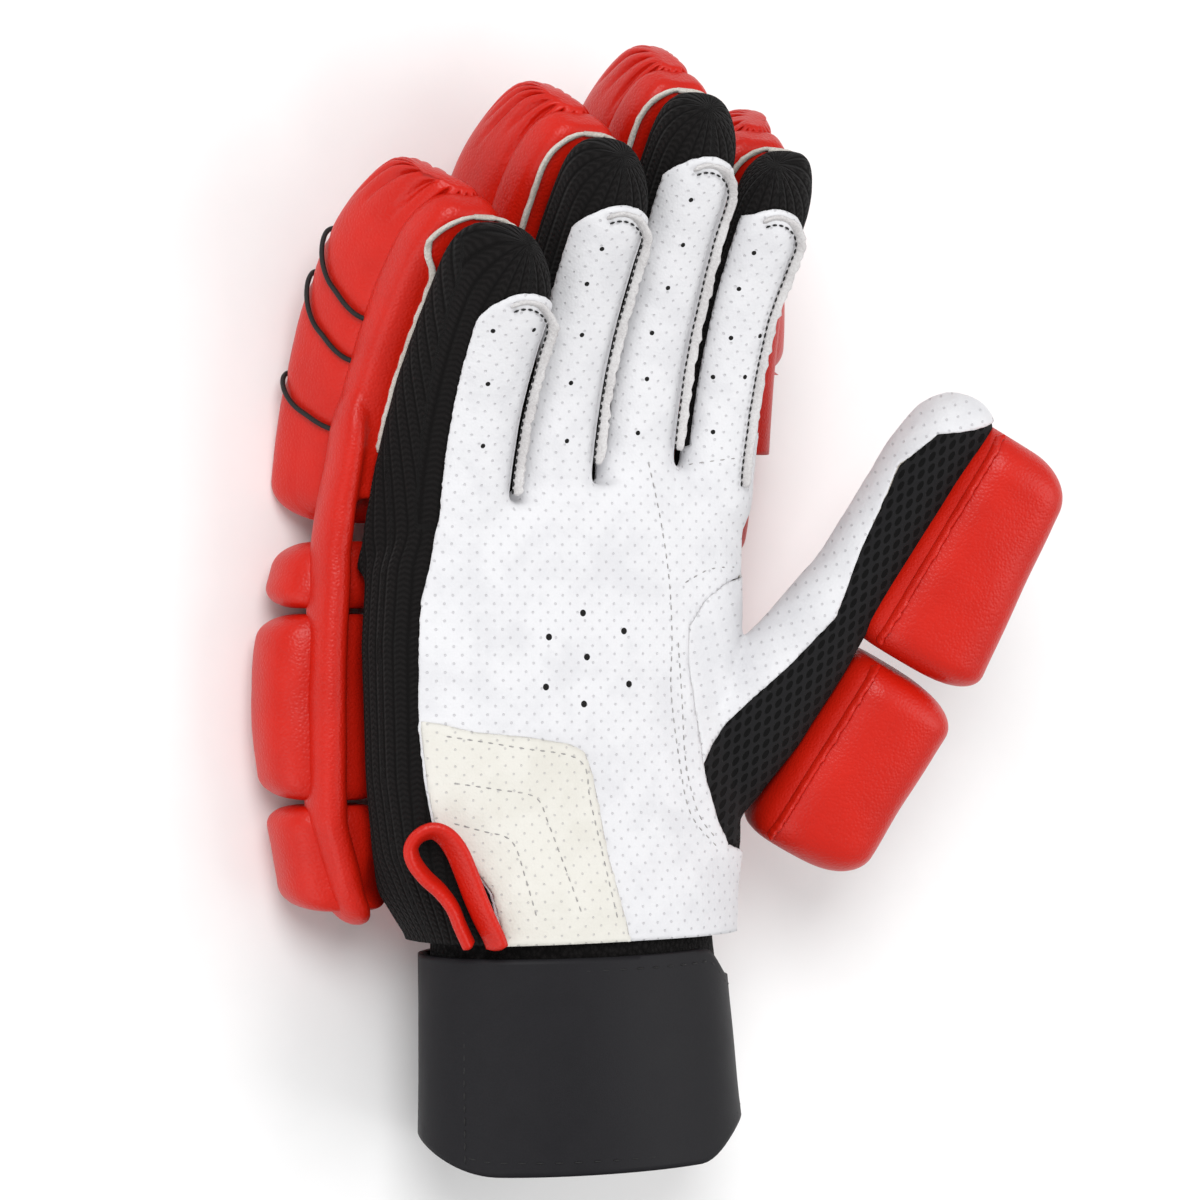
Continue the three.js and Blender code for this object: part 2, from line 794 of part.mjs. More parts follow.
function thumbPad(pad) {
  return sweep({
    frameAt: thumbFrame,
    rowAt: (s) => {
      const share = THREE.MathUtils.clamp((s / thumbLength - pad.from) / (pad.to - pad.from), 0, 1);
      return {
        frontHalf: padWidth * 0.44,
        backHalf: padWidth * 0.42,
        start: thumbDepth * pad.start,
        depth: padHeight * pad.depth * mix(1, pad.taper, share),
        square: 3.2,
        pivot: 0.25,
      };
    },
    stations: stationsOf(
      thumbLength * pad.from + padGap * 0.5,
      thumbLength * pad.to - padGap * 0.5,
      2,
      pad.round,
    ),
    around: 12,
  });
}

const cuff = wristOval(0, cuffEnd - cuffLength, cuffEnd).subtract(
  wristOval(-cuffWall, cuffEnd - cuffLength - overrun, cuffEnd + overrun),
);
const strapHigh = wristEdge - strapBelowPalm;
const strapLow = strapHigh - strapWidth;
const strapRing = wristOval(gap + strapWall, strapLow, strapHigh).subtract(
  wristOval(gap, strapLow - overrun, strapHigh + overrun),
);

// The strap's free end lies over the front, with rounded corners
const strapTab = plate(12, 3, (across, along, level) => {
  const turn = radians(mix(tabFrom, tabTo, across));
  const reach = (1 - across) * radians(tabFrom - tabTo) * wristHalfWidth;
  const inside = THREE.MathUtils.clamp(1 - reach / tabCorner, 0, 1);
  const corner = tabCorner * (1 - Math.sqrt(1 - inside * inside));
  const y = mix(strapLow + corner, strapHigh - corner, along);
  const flare = wristFlare * THREE.MathUtils.clamp((wristEdge - y) / strapWidth, 0, 1.2);
  const out = gap + strapWall - tabSink + level * (tabWall + tabSink);
  return new THREE.Vector3(
    wristMiddle(y) + (wristHalfWidth + flare + out) * Math.cos(turn),
    y,
    wristCentreZ + (wristHalfDepth + flare * 0.5 + out) * Math.sin(turn),
  );
});

// The pull loop: a strip bent round into a drop, its ends together at the wrist edge
const loopRoot = new THREE.Vector3(
  palmCentre - palmWidth * 0.307,
  wristEdge - gap,
  palmHeight + handDepth * 0.035,
);
const loopUp = new THREE.Vector3(-0.36, 0.9, -0.2).normalize();
const loopOut = new THREE.Vector3(-0.42, -0.12, 0.9);
loopOut.addScaledVector(loopUp, -loopOut.dot(loopUp)).normalize();
const loopAcross = new THREE.Vector3().crossVectors(loopUp, loopOut).normalize();

function loopPoint(turn) {
  const up = loopLength * 0.5 * (1 - Math.cos(turn));
  const across = loopBreadth * 0.62 * Math.sin(turn) * Math.sin(turn * 0.5);
  const point = new THREE.Vector3().copy(loopRoot).addScaledVector(loopUp, up);
  return point.addScaledVector(loopAcross, across);
}

const pullLoop = plate(16, 1, (along, across, level) => {
  const turn = mix(loopEnd, 2 * Math.PI - loopEnd, along);
  const step = new THREE.Vector3().subVectors(loopPoint(turn + 0.01), loopPoint(turn - 0.01)).normalize();
  const normal = new THREE.Vector3().crossVectors(step, loopOut).normalize();
  const spot = loopPoint(turn);
  spot.addScaledVector(normal, (level - 0.5) * loopWall);
  spot.addScaledVector(loopOut, (across - 0.5) * loopStrip);
  return spot;
});

// Cords across the little finger's roll: along is a share of the finger length
const cordRows = [{ along: 0.335 }, { along: 0.51 }, { along: 0.636 }];
const cordFrom = 153;
const cordTo = 375;

function cordSolid(finger, along) {
  const s = along * finger.length * fingerLength;
  const frame = fingerFrame(finger, s);
  const row = rollRow(finger, s);
  const points = [];
  for (let i = 0; i <= 12; i += 1) {
    const turn = radians(mix(cordFrom, cordTo, i / 12));
    const [side, deep] = outlinePoint(row, turn, 1, 1, gap * 2 + cordDiameter * 0.5);
    const point = new THREE.Vector3().copy(frame.at).addScaledVector(frame.side, side);
    points.push(point.addScaledVector(frame.back, deep));
  }
  const curve = new THREE.CatmullRomCurve3(points, false, 'centripetal');
  const ring = new THREE.Shape();
  ring.absarc(0, 0, cordDiameter * 0.5, 0, Math.PI * 2, false);
  const form = { steps: 12, curveSegments: 4, bevelEnabled: false, extrudePath: curve };
  return solidOf(new THREE.ExtrudeGeometry(ring, form));
}

const bands = fingers.map((finger, i) => {
  const band = bandSolid(finger, 0).subtract(clearOfHand);
  return i === 0 ? band : band.subtract(bandSolid(fingers[i - 1], gap));
});
const clearOfBands = joinAll([...fingers.map((finger) => bandSolid(finger, gap)), barSolid(gap)]);
const clearOfWrist = wristOval(gap * 2 + strapWall, strapLow - overrun, strapHigh + gap);
bands[0] = bands[0].add(barSolid(0).subtract(clearOfHand).subtract(clearOfWrist));

const group = new THREE.Group();
group.name = 'batting_glove';
group.position.set(0, -restLine, 0);

function addPiece(name, solid, finish) {
  const mesh = solid.getMesh();
  const geometry = new THREE.BufferGeometry();
  geometry.setAttribute('position', new THREE.BufferAttribute(new Float32Array(mesh.vertProperties), 3));
  geometry.setIndex(new THREE.BufferAttribute(new Uint32Array(mesh.triVerts), 1));
  geometry.computeVertexNormals();
  const material = new THREE.MeshStandardMaterial({ ...finish, metalness: 0 });
  const piece = new THREE.Mesh(geometry, material);
  piece.name = name;
  group.add(piece);
}

addPiece('palm_leather', cover.intersect(leather), colours.leather);
addPiece('thumb_leather', thumbPart.intersect(thumbFront(0)), colours.leather);
addPiece('thumb_mesh', thumbPart.subtract(thumbFront(gap)), colours.knit);
fingers.forEach((finger, i) => addPiece(`knit_${finger.name}`, sleeves[i], colours.knit));
addPiece('knit_hand', knitHand, colours.knit);
addPiece('heel_patch', heelPatch, colours.patch);
fingers.forEach((finger, i) => {
  addPiece(i === 0 ? 'side_bar' : `hood_${finger.name}`, bands[i], colours.cover);
});
fingers.forEach((finger, i) => {
  const column = columns[i];
  const trim = (solid) => solid.subtract(clearOfBands).subtract(clearOfHand).subtract(floor);
  const roll = trim(rollSolid(finger, 0));
  const beside = i === 0 ? roll : roll.subtract(rollSolid(fingers[i - 1], gap));
  addPiece(`roll_${finger.name}`, beside, colours.cover);
  const places = [column.low, column.split, column.knuckles, finger.break];
  ['wrist', 'back', 'knuckle'].forEach((name, k) => {
    const low = wristEdge + places[k] * palmLength + rollGap * 0.5;
    const high = wristEdge + places[k + 1] * palmLength - rollGap * 0.5;
    const block = trim(blockSolid(column, low, high)).subtract(clearOfWrist);
    addPiece(`${name}_block_${finger.name}`, block, colours.cover);
  });
});
cordRows.forEach((row, i) => addPiece(`cord_${i + 1}`, cordSolid(fingers[0], row.along), colours.cord));
thumbPads.forEach((pad) => addPiece(pad.name, thumbPad(pad).subtract(clearOfHand), colours.cover));
addPiece('wrist_cuff', cuff, colours.knit);
addPiece('wrist_strap', strapRing.add(strapTab), colours.strap);
const clearOfPatch = handBody(gap * 2 + patchWall, wristEdge).intersect(patchRegion);
const loopCut = pullLoop.subtract(clearOfHand).subtract(clearOfPatch).subtract(clearOfWrist);
addPiece('pull_loop', loopCut, colours.cover);

export default group;
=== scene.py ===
import logging
import math
from dataclasses import dataclass, field
from enum import Enum
from typing import Callable, Sequence

import bmesh
import bpy
import numpy as np
from mathutils import Matrix, Vector, noise
from mathutils.bvhtree import BVHTree


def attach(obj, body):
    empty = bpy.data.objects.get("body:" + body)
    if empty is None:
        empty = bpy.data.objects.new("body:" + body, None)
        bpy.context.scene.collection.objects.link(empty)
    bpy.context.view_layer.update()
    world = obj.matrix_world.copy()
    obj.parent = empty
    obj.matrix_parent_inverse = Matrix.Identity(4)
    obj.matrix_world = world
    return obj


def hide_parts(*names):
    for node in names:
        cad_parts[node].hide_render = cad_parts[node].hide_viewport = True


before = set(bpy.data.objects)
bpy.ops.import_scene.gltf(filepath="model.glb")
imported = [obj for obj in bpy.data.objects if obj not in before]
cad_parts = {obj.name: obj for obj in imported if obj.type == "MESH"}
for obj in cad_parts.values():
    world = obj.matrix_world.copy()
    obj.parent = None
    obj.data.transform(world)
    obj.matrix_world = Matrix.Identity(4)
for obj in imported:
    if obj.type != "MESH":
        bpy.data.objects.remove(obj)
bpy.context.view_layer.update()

LOG = logging.getLogger("batting_glove")
MM = 0.001
REST_LINE = 60.0
PICTURE_SCALE = 4.0

Warp = Callable[[float, float], Vector]
Field = Callable[[np.ndarray], np.ndarray]
Place = tuple[Vector, Vector, Vector]
Path = list[tuple[Vector, Vector]]
Colour = tuple[float, float, float]


def clamp(x: float, low: float = 0.0, high: float = 1.0) -> float:
    """Return x kept between low and high."""
    return max(low, min(high, x))


def mix(a: float, b: float, t: float) -> float:
    """Return the value that lies t of the way from a to b."""
    return a + (b - a) * t


def smooth(x: float, low: float, high: float) -> float:
    """Return a soft step from 0 at low to 1 at high."""
    t = clamp((x - low) / (high - low))
    return t * t * (3 - 2 * t)


def wobble(x: float, y: float, z: float, size: float) -> float:
    """Return soft noise from -1 to 1 with bumps of about the size given, in millimetres."""
    return noise.noise(Vector((x / size, y / size, z / size)))


def read_rows(rows: Sequence[Sequence[float]], place: float) -> list[float]:
    """Read a table between its rows.

    Args:
        rows: Rows whose first column is the place, in rising order.
        place: Where to read.

    Returns:
        The other columns at that place.
    """
    if place <= rows[0][0]:
        return list(rows[0][1:])
    for a, b in zip(rows, rows[1:]):
        if place <= b[0]:
            t = (place - a[0]) / (b[0] - a[0])
            return [mix(x, y, t) for x, y in zip(a[1:], b[1:])]
    return list(rows[-1][1:])


def place_point(p: Vector) -> Vector:
    """Turn a point of the hand, in millimetres, into metres of the shared frame."""
    return Vector((p.x, p.y - REST_LINE, p.z)) * MM


def hand_points(bm: bmesh.types.BMesh) -> np.ndarray:
    """Return a mesh's points in millimetres of the hand."""
    co = np.array([v.co[:] for v in bm.verts]) / MM
    co[:, 1] += REST_LINE
    return co


@dataclass(frozen=True)
class HandSizes:
    """Sizes of the hand, the wrist and the padding, in millimetres."""

    gap: float = 0.3
    cover_wall: float = 1.7
    wrist_edge: float = 2.0
    palm_length: float = 117.0
    palm_width: float = 96.0
    palm_centre: float = -13.0
    depth: float = 28.5
    block_height: float = 23.5
    root_slant: float = 0.2
    finger_width: float = 21.2
    finger_depth: float = 19.5
    finger_length: float = 92.0
    finger_drop: float = 1.9
    band_height: float = 13.5
    roll_height: float = 21.5
    roll_width: float = 31.2
    roll_gap: float = 1.4
    thumb_length: float = 127.0
    thumb_width: float = 23.0
    thumb_depth: float = 19.0
    pad_width: float = 37.0
    pad_height: float = 30.0

    @property
    def palm_height(self) -> float:
        """Height of the palm's front over the surface below."""
        return self.block_height + self.depth


HAND = HandSizes()


@dataclass(frozen=True)
class FingerLine:
    """The centre line of a finger's front, and the lean of the padding behind it."""

    name: str
    x: float
    y: float
    spread: float
    tip: float
    share: float
    lean: float
    tip_lean: float
    parting: float
    gusset: float = 0.0
    root: float = 4.0
    trim: float = 0.0
    seam: float = 12.5

    @property
    def length(self) -> float:
        """Length of the finger from its root to its tip."""
        return self.share * HAND.finger_length

    def trim_at(self, s: float | np.ndarray) -> float | np.ndarray:
        """Return how much narrower the leather is on the right side at s."""
        return self.trim * np.interp(s, (self.length * 0.6, self.length * 0.86), (1.0, 0.0))

    def gusset_at(self, s: float) -> float:
        """Return how far the knit stands out beside the finger at s."""
        return self.gusset * HAND.finger_width * mix(1, 0.24, clamp(s / self.length))

    def frame(self, s: float) -> Place:
        """Return the point, the sideways and the backward direction at s along the line."""
        spread = math.radians(self.spread)
        first, last = math.radians(self.root), math.radians(self.tip)
        rate = (last - first) / self.length
        inside = clamp(s, 0, self.length)
        slope = first + rate * inside
        level = (math.sin(slope) - math.sin(first)) / rate + (s - inside) * math.cos(slope)
        rise = (math.cos(first) - math.cos(slope)) / rate + (s - inside) * math.sin(slope)
        at = Vector((
            HAND.palm_centre + self.x * HAND.palm_width + math.sin(spread) * level,
            HAND.wrist_edge + self.y * HAND.palm_length + math.cos(spread) * level,
            HAND.palm_height - HAND.finger_drop + rise,
        ))
        side = Vector((math.cos(spread), -math.sin(spread), 0))
        back = Vector((
            math.sin(spread) * math.sin(slope),
            math.cos(spread) * math.sin(slope),
            -math.cos(slope),
        ))
        return at, side, back

    def ahead(self, s: float) -> Vector:
        """Return the direction of the line at s."""
        return (self.frame(s + 0.5)[0] - self.frame(s - 0.5)[0]).normalized()

    def overhang(self, s: float, deep: float, reach: float = 5.5) -> float:
        """Return how much further the cover reaches behind the fingertip, at a depth."""
        return reach * clamp(deep / HAND.finger_depth) * smooth(s, self.length - 24, self.length - 5)

    def along(self, y: float) -> float:
        """Return where along the line a place of the palm lies."""
        s = 0.0
        for _ in range(12):
            s += y - self.frame(s)[0].y
        return s

    def locate(self, points: np.ndarray) -> tuple[np.ndarray, np.ndarray, np.ndarray]:
        """Find points beside the line.

        Args:
            points: Points of the hand, in millimetres, one a row.

        Returns:
            How far along, to the side and behind the front each point lies.
        """
        spread = math.radians(self.spread)
        first, last = math.radians(self.root), math.radians(self.tip)
        rate = (last - first) / self.length
        start = self.frame(0)[0]
        s = np.zeros(len(points))
        for _ in range(10):
            inside = np.clip(s, 0, self.length)
            slope = first + rate * inside
            over = s - inside
            level = (np.sin(slope) - math.sin(first)) / rate + over * np.cos(slope)
            rise = (math.cos(first) - np.cos(slope)) / rate + over * np.sin(slope)
            dx = points[:, 0] - start.x - math.sin(spread) * level
            dy = points[:, 1] - start.y - math.cos(spread) * level
            dz = points[:, 2] - start.z - rise
            forward = math.sin(spread) * dx + math.cos(spread) * dy
            s = s + forward * np.cos(slope) + dz * np.sin(slope)
        side = math.cos(spread) * dx - math.sin(spread) * dy
        deep = forward * np.sin(slope) - dz * np.cos(slope)
        return s, side, deep


FINGERS = (
    FingerLine("little", -0.3, 0.82, 0, 45, 0.735, -0.46, -0.34, 0.838, 0.62),
    FingerLine("ring", -0.064, 0.888, 0.8, 42, 0.89, -0.24, -0.17, 0.94),
    FingerLine("middle", 0.178, 0.922, 0.8, 39, 0.985, 0, -0.02, 1.04),
    FingerLine("index", 0.408, 0.905, 1.5, 36, 0.87, 0.7, 0.16, 1.137, trim=2.2, seam=5.5),
)


@dataclass(frozen=True)
class Section:
    """A soft rounded outline across a line, widest values in millimetres."""

    front_half: float
    back_half: float
    start: float
    depth: float
    square: float = 2.0
    front_shift: float = 0.0
    back_shift: float = 0.0
    pivot: float = 0.5

    def point(self, turn: float, scale: float = 1.0, grow: float = 0.0) -> tuple[float, float]:
        """Return the place to the side and behind the line, at a turn round the outline."""
        power = 2 / self.square
        c, s = math.cos(turn), math.sin(turn)
        across = math.copysign(abs(c) ** power, c)
        facing = math.copysign(abs(s) ** power, s)
        share = (1 - facing) * 0.5
        half = mix(self.front_half, self.back_half, share) * scale + grow
        shift = mix(self.front_shift, self.back_shift, share)
        pivot = self.start + self.depth * self.pivot
        deep = self.start + self.depth * share
        return shift + across * half, pivot + (deep - pivot) * scale - grow * facing


def end_scale(
    s: float, start: float, end: float, start_round: float, end_round: float, left: float
) -> float:
    """Return how much of an outline is left near its rounded ends.

    Args:
        s: Place along the piece.
        start: Where the piece starts.
        end: Where it ends.
        start_round: Length of the rounding at its start.
        end_round: Length of the rounding at its end.
        left: Share of the outline that is left at the very end.

    Returns:
        A share from left to 1.
    """
    t = 0.0
    if start_round > 0 and s < start + start_round:
        t = (start + start_round - s) / start_round
    if end_round > 0 and s > end - end_round:
        t = max(t, (s - end + end_round) / end_round)
    return left + (1 - left) * math.sqrt(max(0.0, 1 - clamp(t) ** 2.2))


def spaced(share: float, start_bias: float, end_bias: float) -> float:
    """Crowd evenly spaced shares towards the ends of a piece."""
    eased = 0.5 - 0.5 * math.cos(math.pi * share)
    return mix(share, eased, mix(start_bias, end_bias, share))


def finish_mesh(bm: bmesh.types.BMesh, name: str) -> bpy.types.Object:
    """Turn a finished bmesh into a smooth-shaded object of the scene."""
    mesh = bpy.data.meshes.new(name)
    bm.to_mesh(mesh)
    bm.free()
    mesh.polygons.foreach_set("use_smooth", [True] * len(mesh.polygons))
    piece = bpy.data.objects.new(name, mesh)
    bpy.context.scene.collection.objects.link(piece)
    return piece


def rod(levels: int, around: int, closed: bool = True) -> bmesh.types.BMesh:
    """Return a cylinder of radius 1 and height 1 with rings of points along it.

    Args:
        levels: Faces along the cylinder.
        around: Faces round it.
        closed: Whether its two ends are closed.

    Returns:
        The mesh, its middle at the origin.
    """
    bm = bmesh.new()
    bmesh.ops.create_cone(bm, cap_ends=closed, segments=around, radius1=1, radius2=1, depth=1)
    sides = [e for e in bm.edges if abs(e.verts[0].co.z - e.verts[1].co.z) > 0.5]
    bmesh.ops.subdivide_edges(bm, edges=sides, cuts=levels - 1, use_grid_fill=True)
    return bm


def tube_mesh(levels: int, around: int, warp: Warp, closed: bool = True) -> bmesh.types.BMesh:
    """Bend a cylinder into a soft form.

    Args:
        levels: Faces along the piece.
        around: Faces round the piece.
        warp: Gives the point, in millimetres of the hand, at a share along and a turn round.
        closed: Whether the two ends are closed.

    Returns:
        The mesh, with its shares along and round in a UV map.
    """
    bm = rod(levels, around, closed)
    caps = [f for f in bm.faces if len(f.verts) > 4]
    if caps:
        bmesh.ops.poke(bm, faces=caps)
    layer = bm.loops.layers.uv.new("round")
    for face in bm.faces:
        turns = [math.atan2(v.co.y, v.co.x) / (2 * math.pi) % 1.0 for v in face.verts]
        wraps = max(turns) - min(turns) > 0.5
        for loop, turn in zip(face.loops, turns):
            loop[layer].uv = (turn + (1.0 if wraps and turn < 0.5 else 0.0), loop.vert.co.z + 0.5)
    for v in bm.verts:
        turn = math.atan2(v.co.y, v.co.x)
        reach = math.hypot(v.co.x, v.co.y)
        point = warp(clamp(v.co.z + 0.5), turn)
        if reach < 0.5:
            point = (point + warp(clamp(v.co.z + 0.5), turn + math.pi)) * 0.5
        v.co = place_point(point)
    bmesh.ops.recalc_face_normals(bm, faces=bm.faces)
    return bm


def tube(name: str, levels: int, around: int, warp: Warp, closed: bool = True) -> bpy.types.Object:
    """Make an object from a bent cylinder, as tube_mesh does."""
    return finish_mesh(tube_mesh(levels, around, warp, closed), name)


def join_forms(forms: Sequence[bmesh.types.BMesh]) -> bpy.types.Mesh:
    """Put forms into one mesh, and use them up."""
    mesh = bpy.data.meshes.new("forms")
    bm = bmesh.new()
    for form in forms:
        form.to_mesh(mesh)
        bm.from_mesh(mesh)
        form.free()
    bm.to_mesh(mesh)
    bm.free()
    return mesh


def soft_skin(forms: Sequence[bmesh.types.BMesh], voxel: float, passes: int) -> bmesh.types.BMesh:
    """Join closed forms into one soft skin.

    Args:
        forms: The forms, which are used up.
        voxel: Size of the new faces, in millimetres.
        passes: How often the skin is smoothed.

    Returns:
        The skin.
    """
    mesh = join_forms(forms)
    holder = bpy.data.objects.new("forms", mesh)
    bpy.context.scene.collection.objects.link(holder)
    remesh = holder.modifiers.new("skin", "REMESH")
    remesh.mode = "VOXEL"
    remesh.voxel_size = voxel * MM
    skin = bmesh.new()
    skin.from_mesh(holder.evaluated_get(bpy.context.evaluated_depsgraph_get()).to_mesh())
    bpy.data.objects.remove(holder)
    bpy.data.meshes.remove(mesh)
    for _ in range(passes):
        bmesh.ops.smooth_vert(
            skin, verts=skin.verts, factor=0.5, use_axis_x=True, use_axis_y=True, use_axis_z=True
        )
    return skin


def add_solidify(piece: bpy.types.Object, wall: float, rim: int = 0, offset: float = -1.0) -> None:
    """Give a sheet its wall, in millimetres, with the rim in its own material slot."""
    wall_mod = piece.modifiers.new("wall", "SOLIDIFY")
    wall_mod.thickness = wall * MM
    wall_mod.offset = offset
    wall_mod.use_even_offset = False
    wall_mod.material_offset_rim = rim
    wall_mod.use_quality_normals = True


def smooth_path(points: Sequence[Vector], step: float) -> list[Vector]:
    """Run a smooth curve through points.

    Args:
        points: Points in their order.
        step: Distance between the points that come back, in the points' own unit.

    Returns:
        Points evenly spaced along a curve through the given ones.
    """
    ends = [points[0] * 2 - points[1], *points, points[-1] * 2 - points[-2]]
    fine: list[Vector] = []
    for p0, p1, p2, p3 in zip(ends, ends[1:], ends[2:], ends[3:]):
        for i in range(16):
            t = i / 16
            fine.append(0.5 * (
                2 * p1 + (p2 - p0) * t + (2 * p0 - 5 * p1 + 4 * p2 - p3) * t * t
                + (3 * p1 - p0 - 3 * p2 + p3) * t * t * t
            ))
    fine.append(points[-1].copy())
    total = sum((b - a).length for a, b in zip(fine, fine[1:]))
    count = max(2, round(total / step))
    out, walked, i = [fine[0].copy()], 0.0, 0
    for k in range(1, count):
        want = total * k / count
        while i < len(fine) - 2 and walked + (fine[i + 1] - fine[i]).length < want:
            walked += (fine[i + 1] - fine[i]).length
            i += 1
        piece_length = max(1e-9, (fine[i + 1] - fine[i]).length)
        out.append(fine[i].lerp(fine[i + 1], clamp((want - walked) / piece_length)))
    out.append(fine[-1].copy())
    return out


class Sock:
    """A shader socket that can be used in sums."""

    def __init__(self, shader: "Shader", socket: bpy.types.NodeSocket) -> None:
        """Keep the shader that the socket belongs to."""
        self.shader = shader
        self.socket = socket

    def _math(self, operation: str, a: "Sock | float", b: "Sock | float") -> "Sock":
        """Add a Math node over two values."""
        return self.shader.node("ShaderNodeMath", {"operation": operation}, {0: a, 1: b})

    def __add__(self, other: "Sock | float") -> "Sock":
        """Return the sum."""
        return self._math("ADD", self, other)

    def __sub__(self, other: "Sock | float") -> "Sock":
        """Return the difference."""
        return self._math("SUBTRACT", self, other)

    def __rsub__(self, other: float) -> "Sock":
        """Return a number less this value."""
        return self._math("SUBTRACT", other, self)

    def __mul__(self, other: "Sock | float") -> "Sock":
        """Return the product."""
        return self._math("MULTIPLY", self, other)

    def __truediv__(self, other: "Sock | float") -> "Sock":
        """Return the quotient."""
        return self._math("DIVIDE", self, other)

    __radd__ = __add__
    __rmul__ = __mul__

    def least(self, other: "Sock | float") -> "Sock":
        """Return the smaller value."""
        return self._math("MINIMUM", self, other)

    def sine(self) -> "Sock":
        """Return the sine."""
        return self._math("SINE", self, 0.0)

    def size(self) -> "Sock":
        """Return the value without its sign."""
        return self._math("ABSOLUTE", self, 0.0)

    def part(self) -> "Sock":
        """Return what is left after whole numbers."""
        return self._math("FRACT", self, 0.0)

    def step(self, low: float, high: float) -> "Sock":
        """Return a soft step from 0 at low to 1 at high."""
        return self.shader.node(
            "ShaderNodeMapRange",
            {"interpolation_type": "SMOOTHSTEP"},
            {0: self, 1: low, 2: high, 3: 0.0, 4: 1.0},
        )


class Shader:
    """A material and the nodes that make it."""

    def __init__(self, name: str) -> None:
        """Start a material with an empty tree and one surface shader."""
        self.material = bpy.data.materials.new(name)
        self.material.use_nodes = True
        self.tree = self.material.node_tree
        self.tree.nodes.clear()
        self.surface = self.tree.nodes.new("ShaderNodeBsdfPrincipled")
        output = self.tree.nodes.new("ShaderNodeOutputMaterial")
        self.tree.links.new(self.surface.outputs[0], output.inputs[0])

    def feed(self, socket: bpy.types.NodeSocket, value: object) -> None:
        """Link a value to a socket, or set it there."""
        if isinstance(value, Sock):
            self.tree.links.new(value.socket, socket)
        else:
            socket.default_value = value

    def node(
        self,
        kind: str,
        settings: dict[str, object] | None = None,
        inputs: dict[int | str, object] | None = None,
        output: int | str = 0,
    ) -> Sock:
        """Add a node.

        Args:
            kind: The node's type.
            settings: Its own settings, set first.
            inputs: Values or links of its sockets.
            output: Which output comes back.

        Returns:
            The chosen output.
        """
        made = self.tree.nodes.new(kind)
        for key, value in (settings or {}).items():
            setattr(made, key, value)
        for key, value in (inputs or {}).items():
            self.feed(made.inputs[key], value)
        return Sock(self, made.outputs[output])

    def place(self) -> Sock:
        """Return the place on the object."""
        return self.node("ShaderNodeTexCoord", output="Object")

    def stored(self, name: str) -> Sock:
        """Return a stored vector of the piece."""
        return self.node("ShaderNodeAttribute", {"attribute_name": name}, output="Vector")

    def axes(self, vector: Sock) -> tuple[Sock, Sock, Sock]:
        """Take a vector apart."""
        made = self.tree.nodes.new("ShaderNodeSeparateXYZ")
        self.feed(made.inputs[0], vector)
        return tuple(Sock(self, made.outputs[i]) for i in range(3))

    def noise(self, where: Sock, scale: float, detail: float = 3.0, rough: float = 0.55) -> Sock:
        """Return soft noise from 0 to 1."""
        inputs = {"Vector": where, "Scale": scale, "Detail": detail, "Roughness": rough}
        return self.node("ShaderNodeTexNoise", {}, inputs)

    def cells(self, where: Sock, scale: float, kind: str = "F1") -> Sock:
        """Return the distance in a pattern of cells."""
        return self.node("ShaderNodeTexVoronoi", {"feature": kind}, {"Vector": where, "Scale": scale})

    def blend(self, amount: Sock | float, a: Sequence[float] | Sock, b: Sequence[float] | Sock) -> Sock:
        """Mix two colours."""
        made = self.tree.nodes.new("ShaderNodeMix")
        made.data_type = "RGBA"
        self.feed(made.inputs[0], amount)
        for slot, value in ((6, a), (7, b)):
            self.feed(made.inputs[slot], value if isinstance(value, Sock) else (*value, 1.0))
        return Sock(self, made.outputs[2])

    def relief(self, height: Sock, strength: float, distance: float) -> None:
        """Press a height into the surface, distance in metres."""
        inputs = {"Strength": strength, "Distance": distance, "Height": height}
        normal = self.node("ShaderNodeBump", {}, inputs)
        self.feed(self.surface.inputs["Normal"], normal)

    def coat(self, colour: Sock | Colour, rough: Sock | float, **constants: float) -> bpy.types.Material:
        """Set the surface shader's sockets.

        Args:
            colour: The base colour.
            rough: The roughness.
            **constants: Plain values of other sockets, with underscores for blanks.

        Returns:
            The material.
        """
        self.feed(self.surface.inputs["Base Color"], colour if isinstance(colour, Sock) else (*colour, 1.0))
        self.feed(self.surface.inputs["Roughness"], rough)
        for key, value in constants.items():
            self.feed(self.surface.inputs[key.replace("_", " ")], value)
        return self.material


@dataclass(frozen=True)
class CoverFinish:
    """Soft synthetic leather over foam, with a fine grain."""

    name: str = "red_cover"
    colour: Colour = (0.575, 0.011, 0.0028)
    shade: Colour = (0.37, 0.005, 0.002)
    rough: float = 0.38
    grain: float = 1300.0

    def make(self) -> bpy.types.Material:
        """Build the material."""
        sh = Shader(self.name)
        where = sh.place()
        soft = sh.noise(where, 60.0, 4.0)
        grain = sh.cells(where, self.grain).step(0.0, 0.75)
        pull = sh.noise(where, 230.0, 3.0)
        height = grain * 0.55 + pull * 0.5 + soft * 0.9
        sh.relief(height, 0.32, 0.0004)
        colour = sh.blend(soft.step(0.3, 0.75), self.shade, self.colour)
        colour = sh.blend(0.72, colour, self.colour)
        rough = soft * 0.12 + (self.rough - 0.05)
        return sh.coat(colour, rough, Specular_IOR_Level=0.3, Coat_Weight=0.02, Coat_Roughness=0.3)


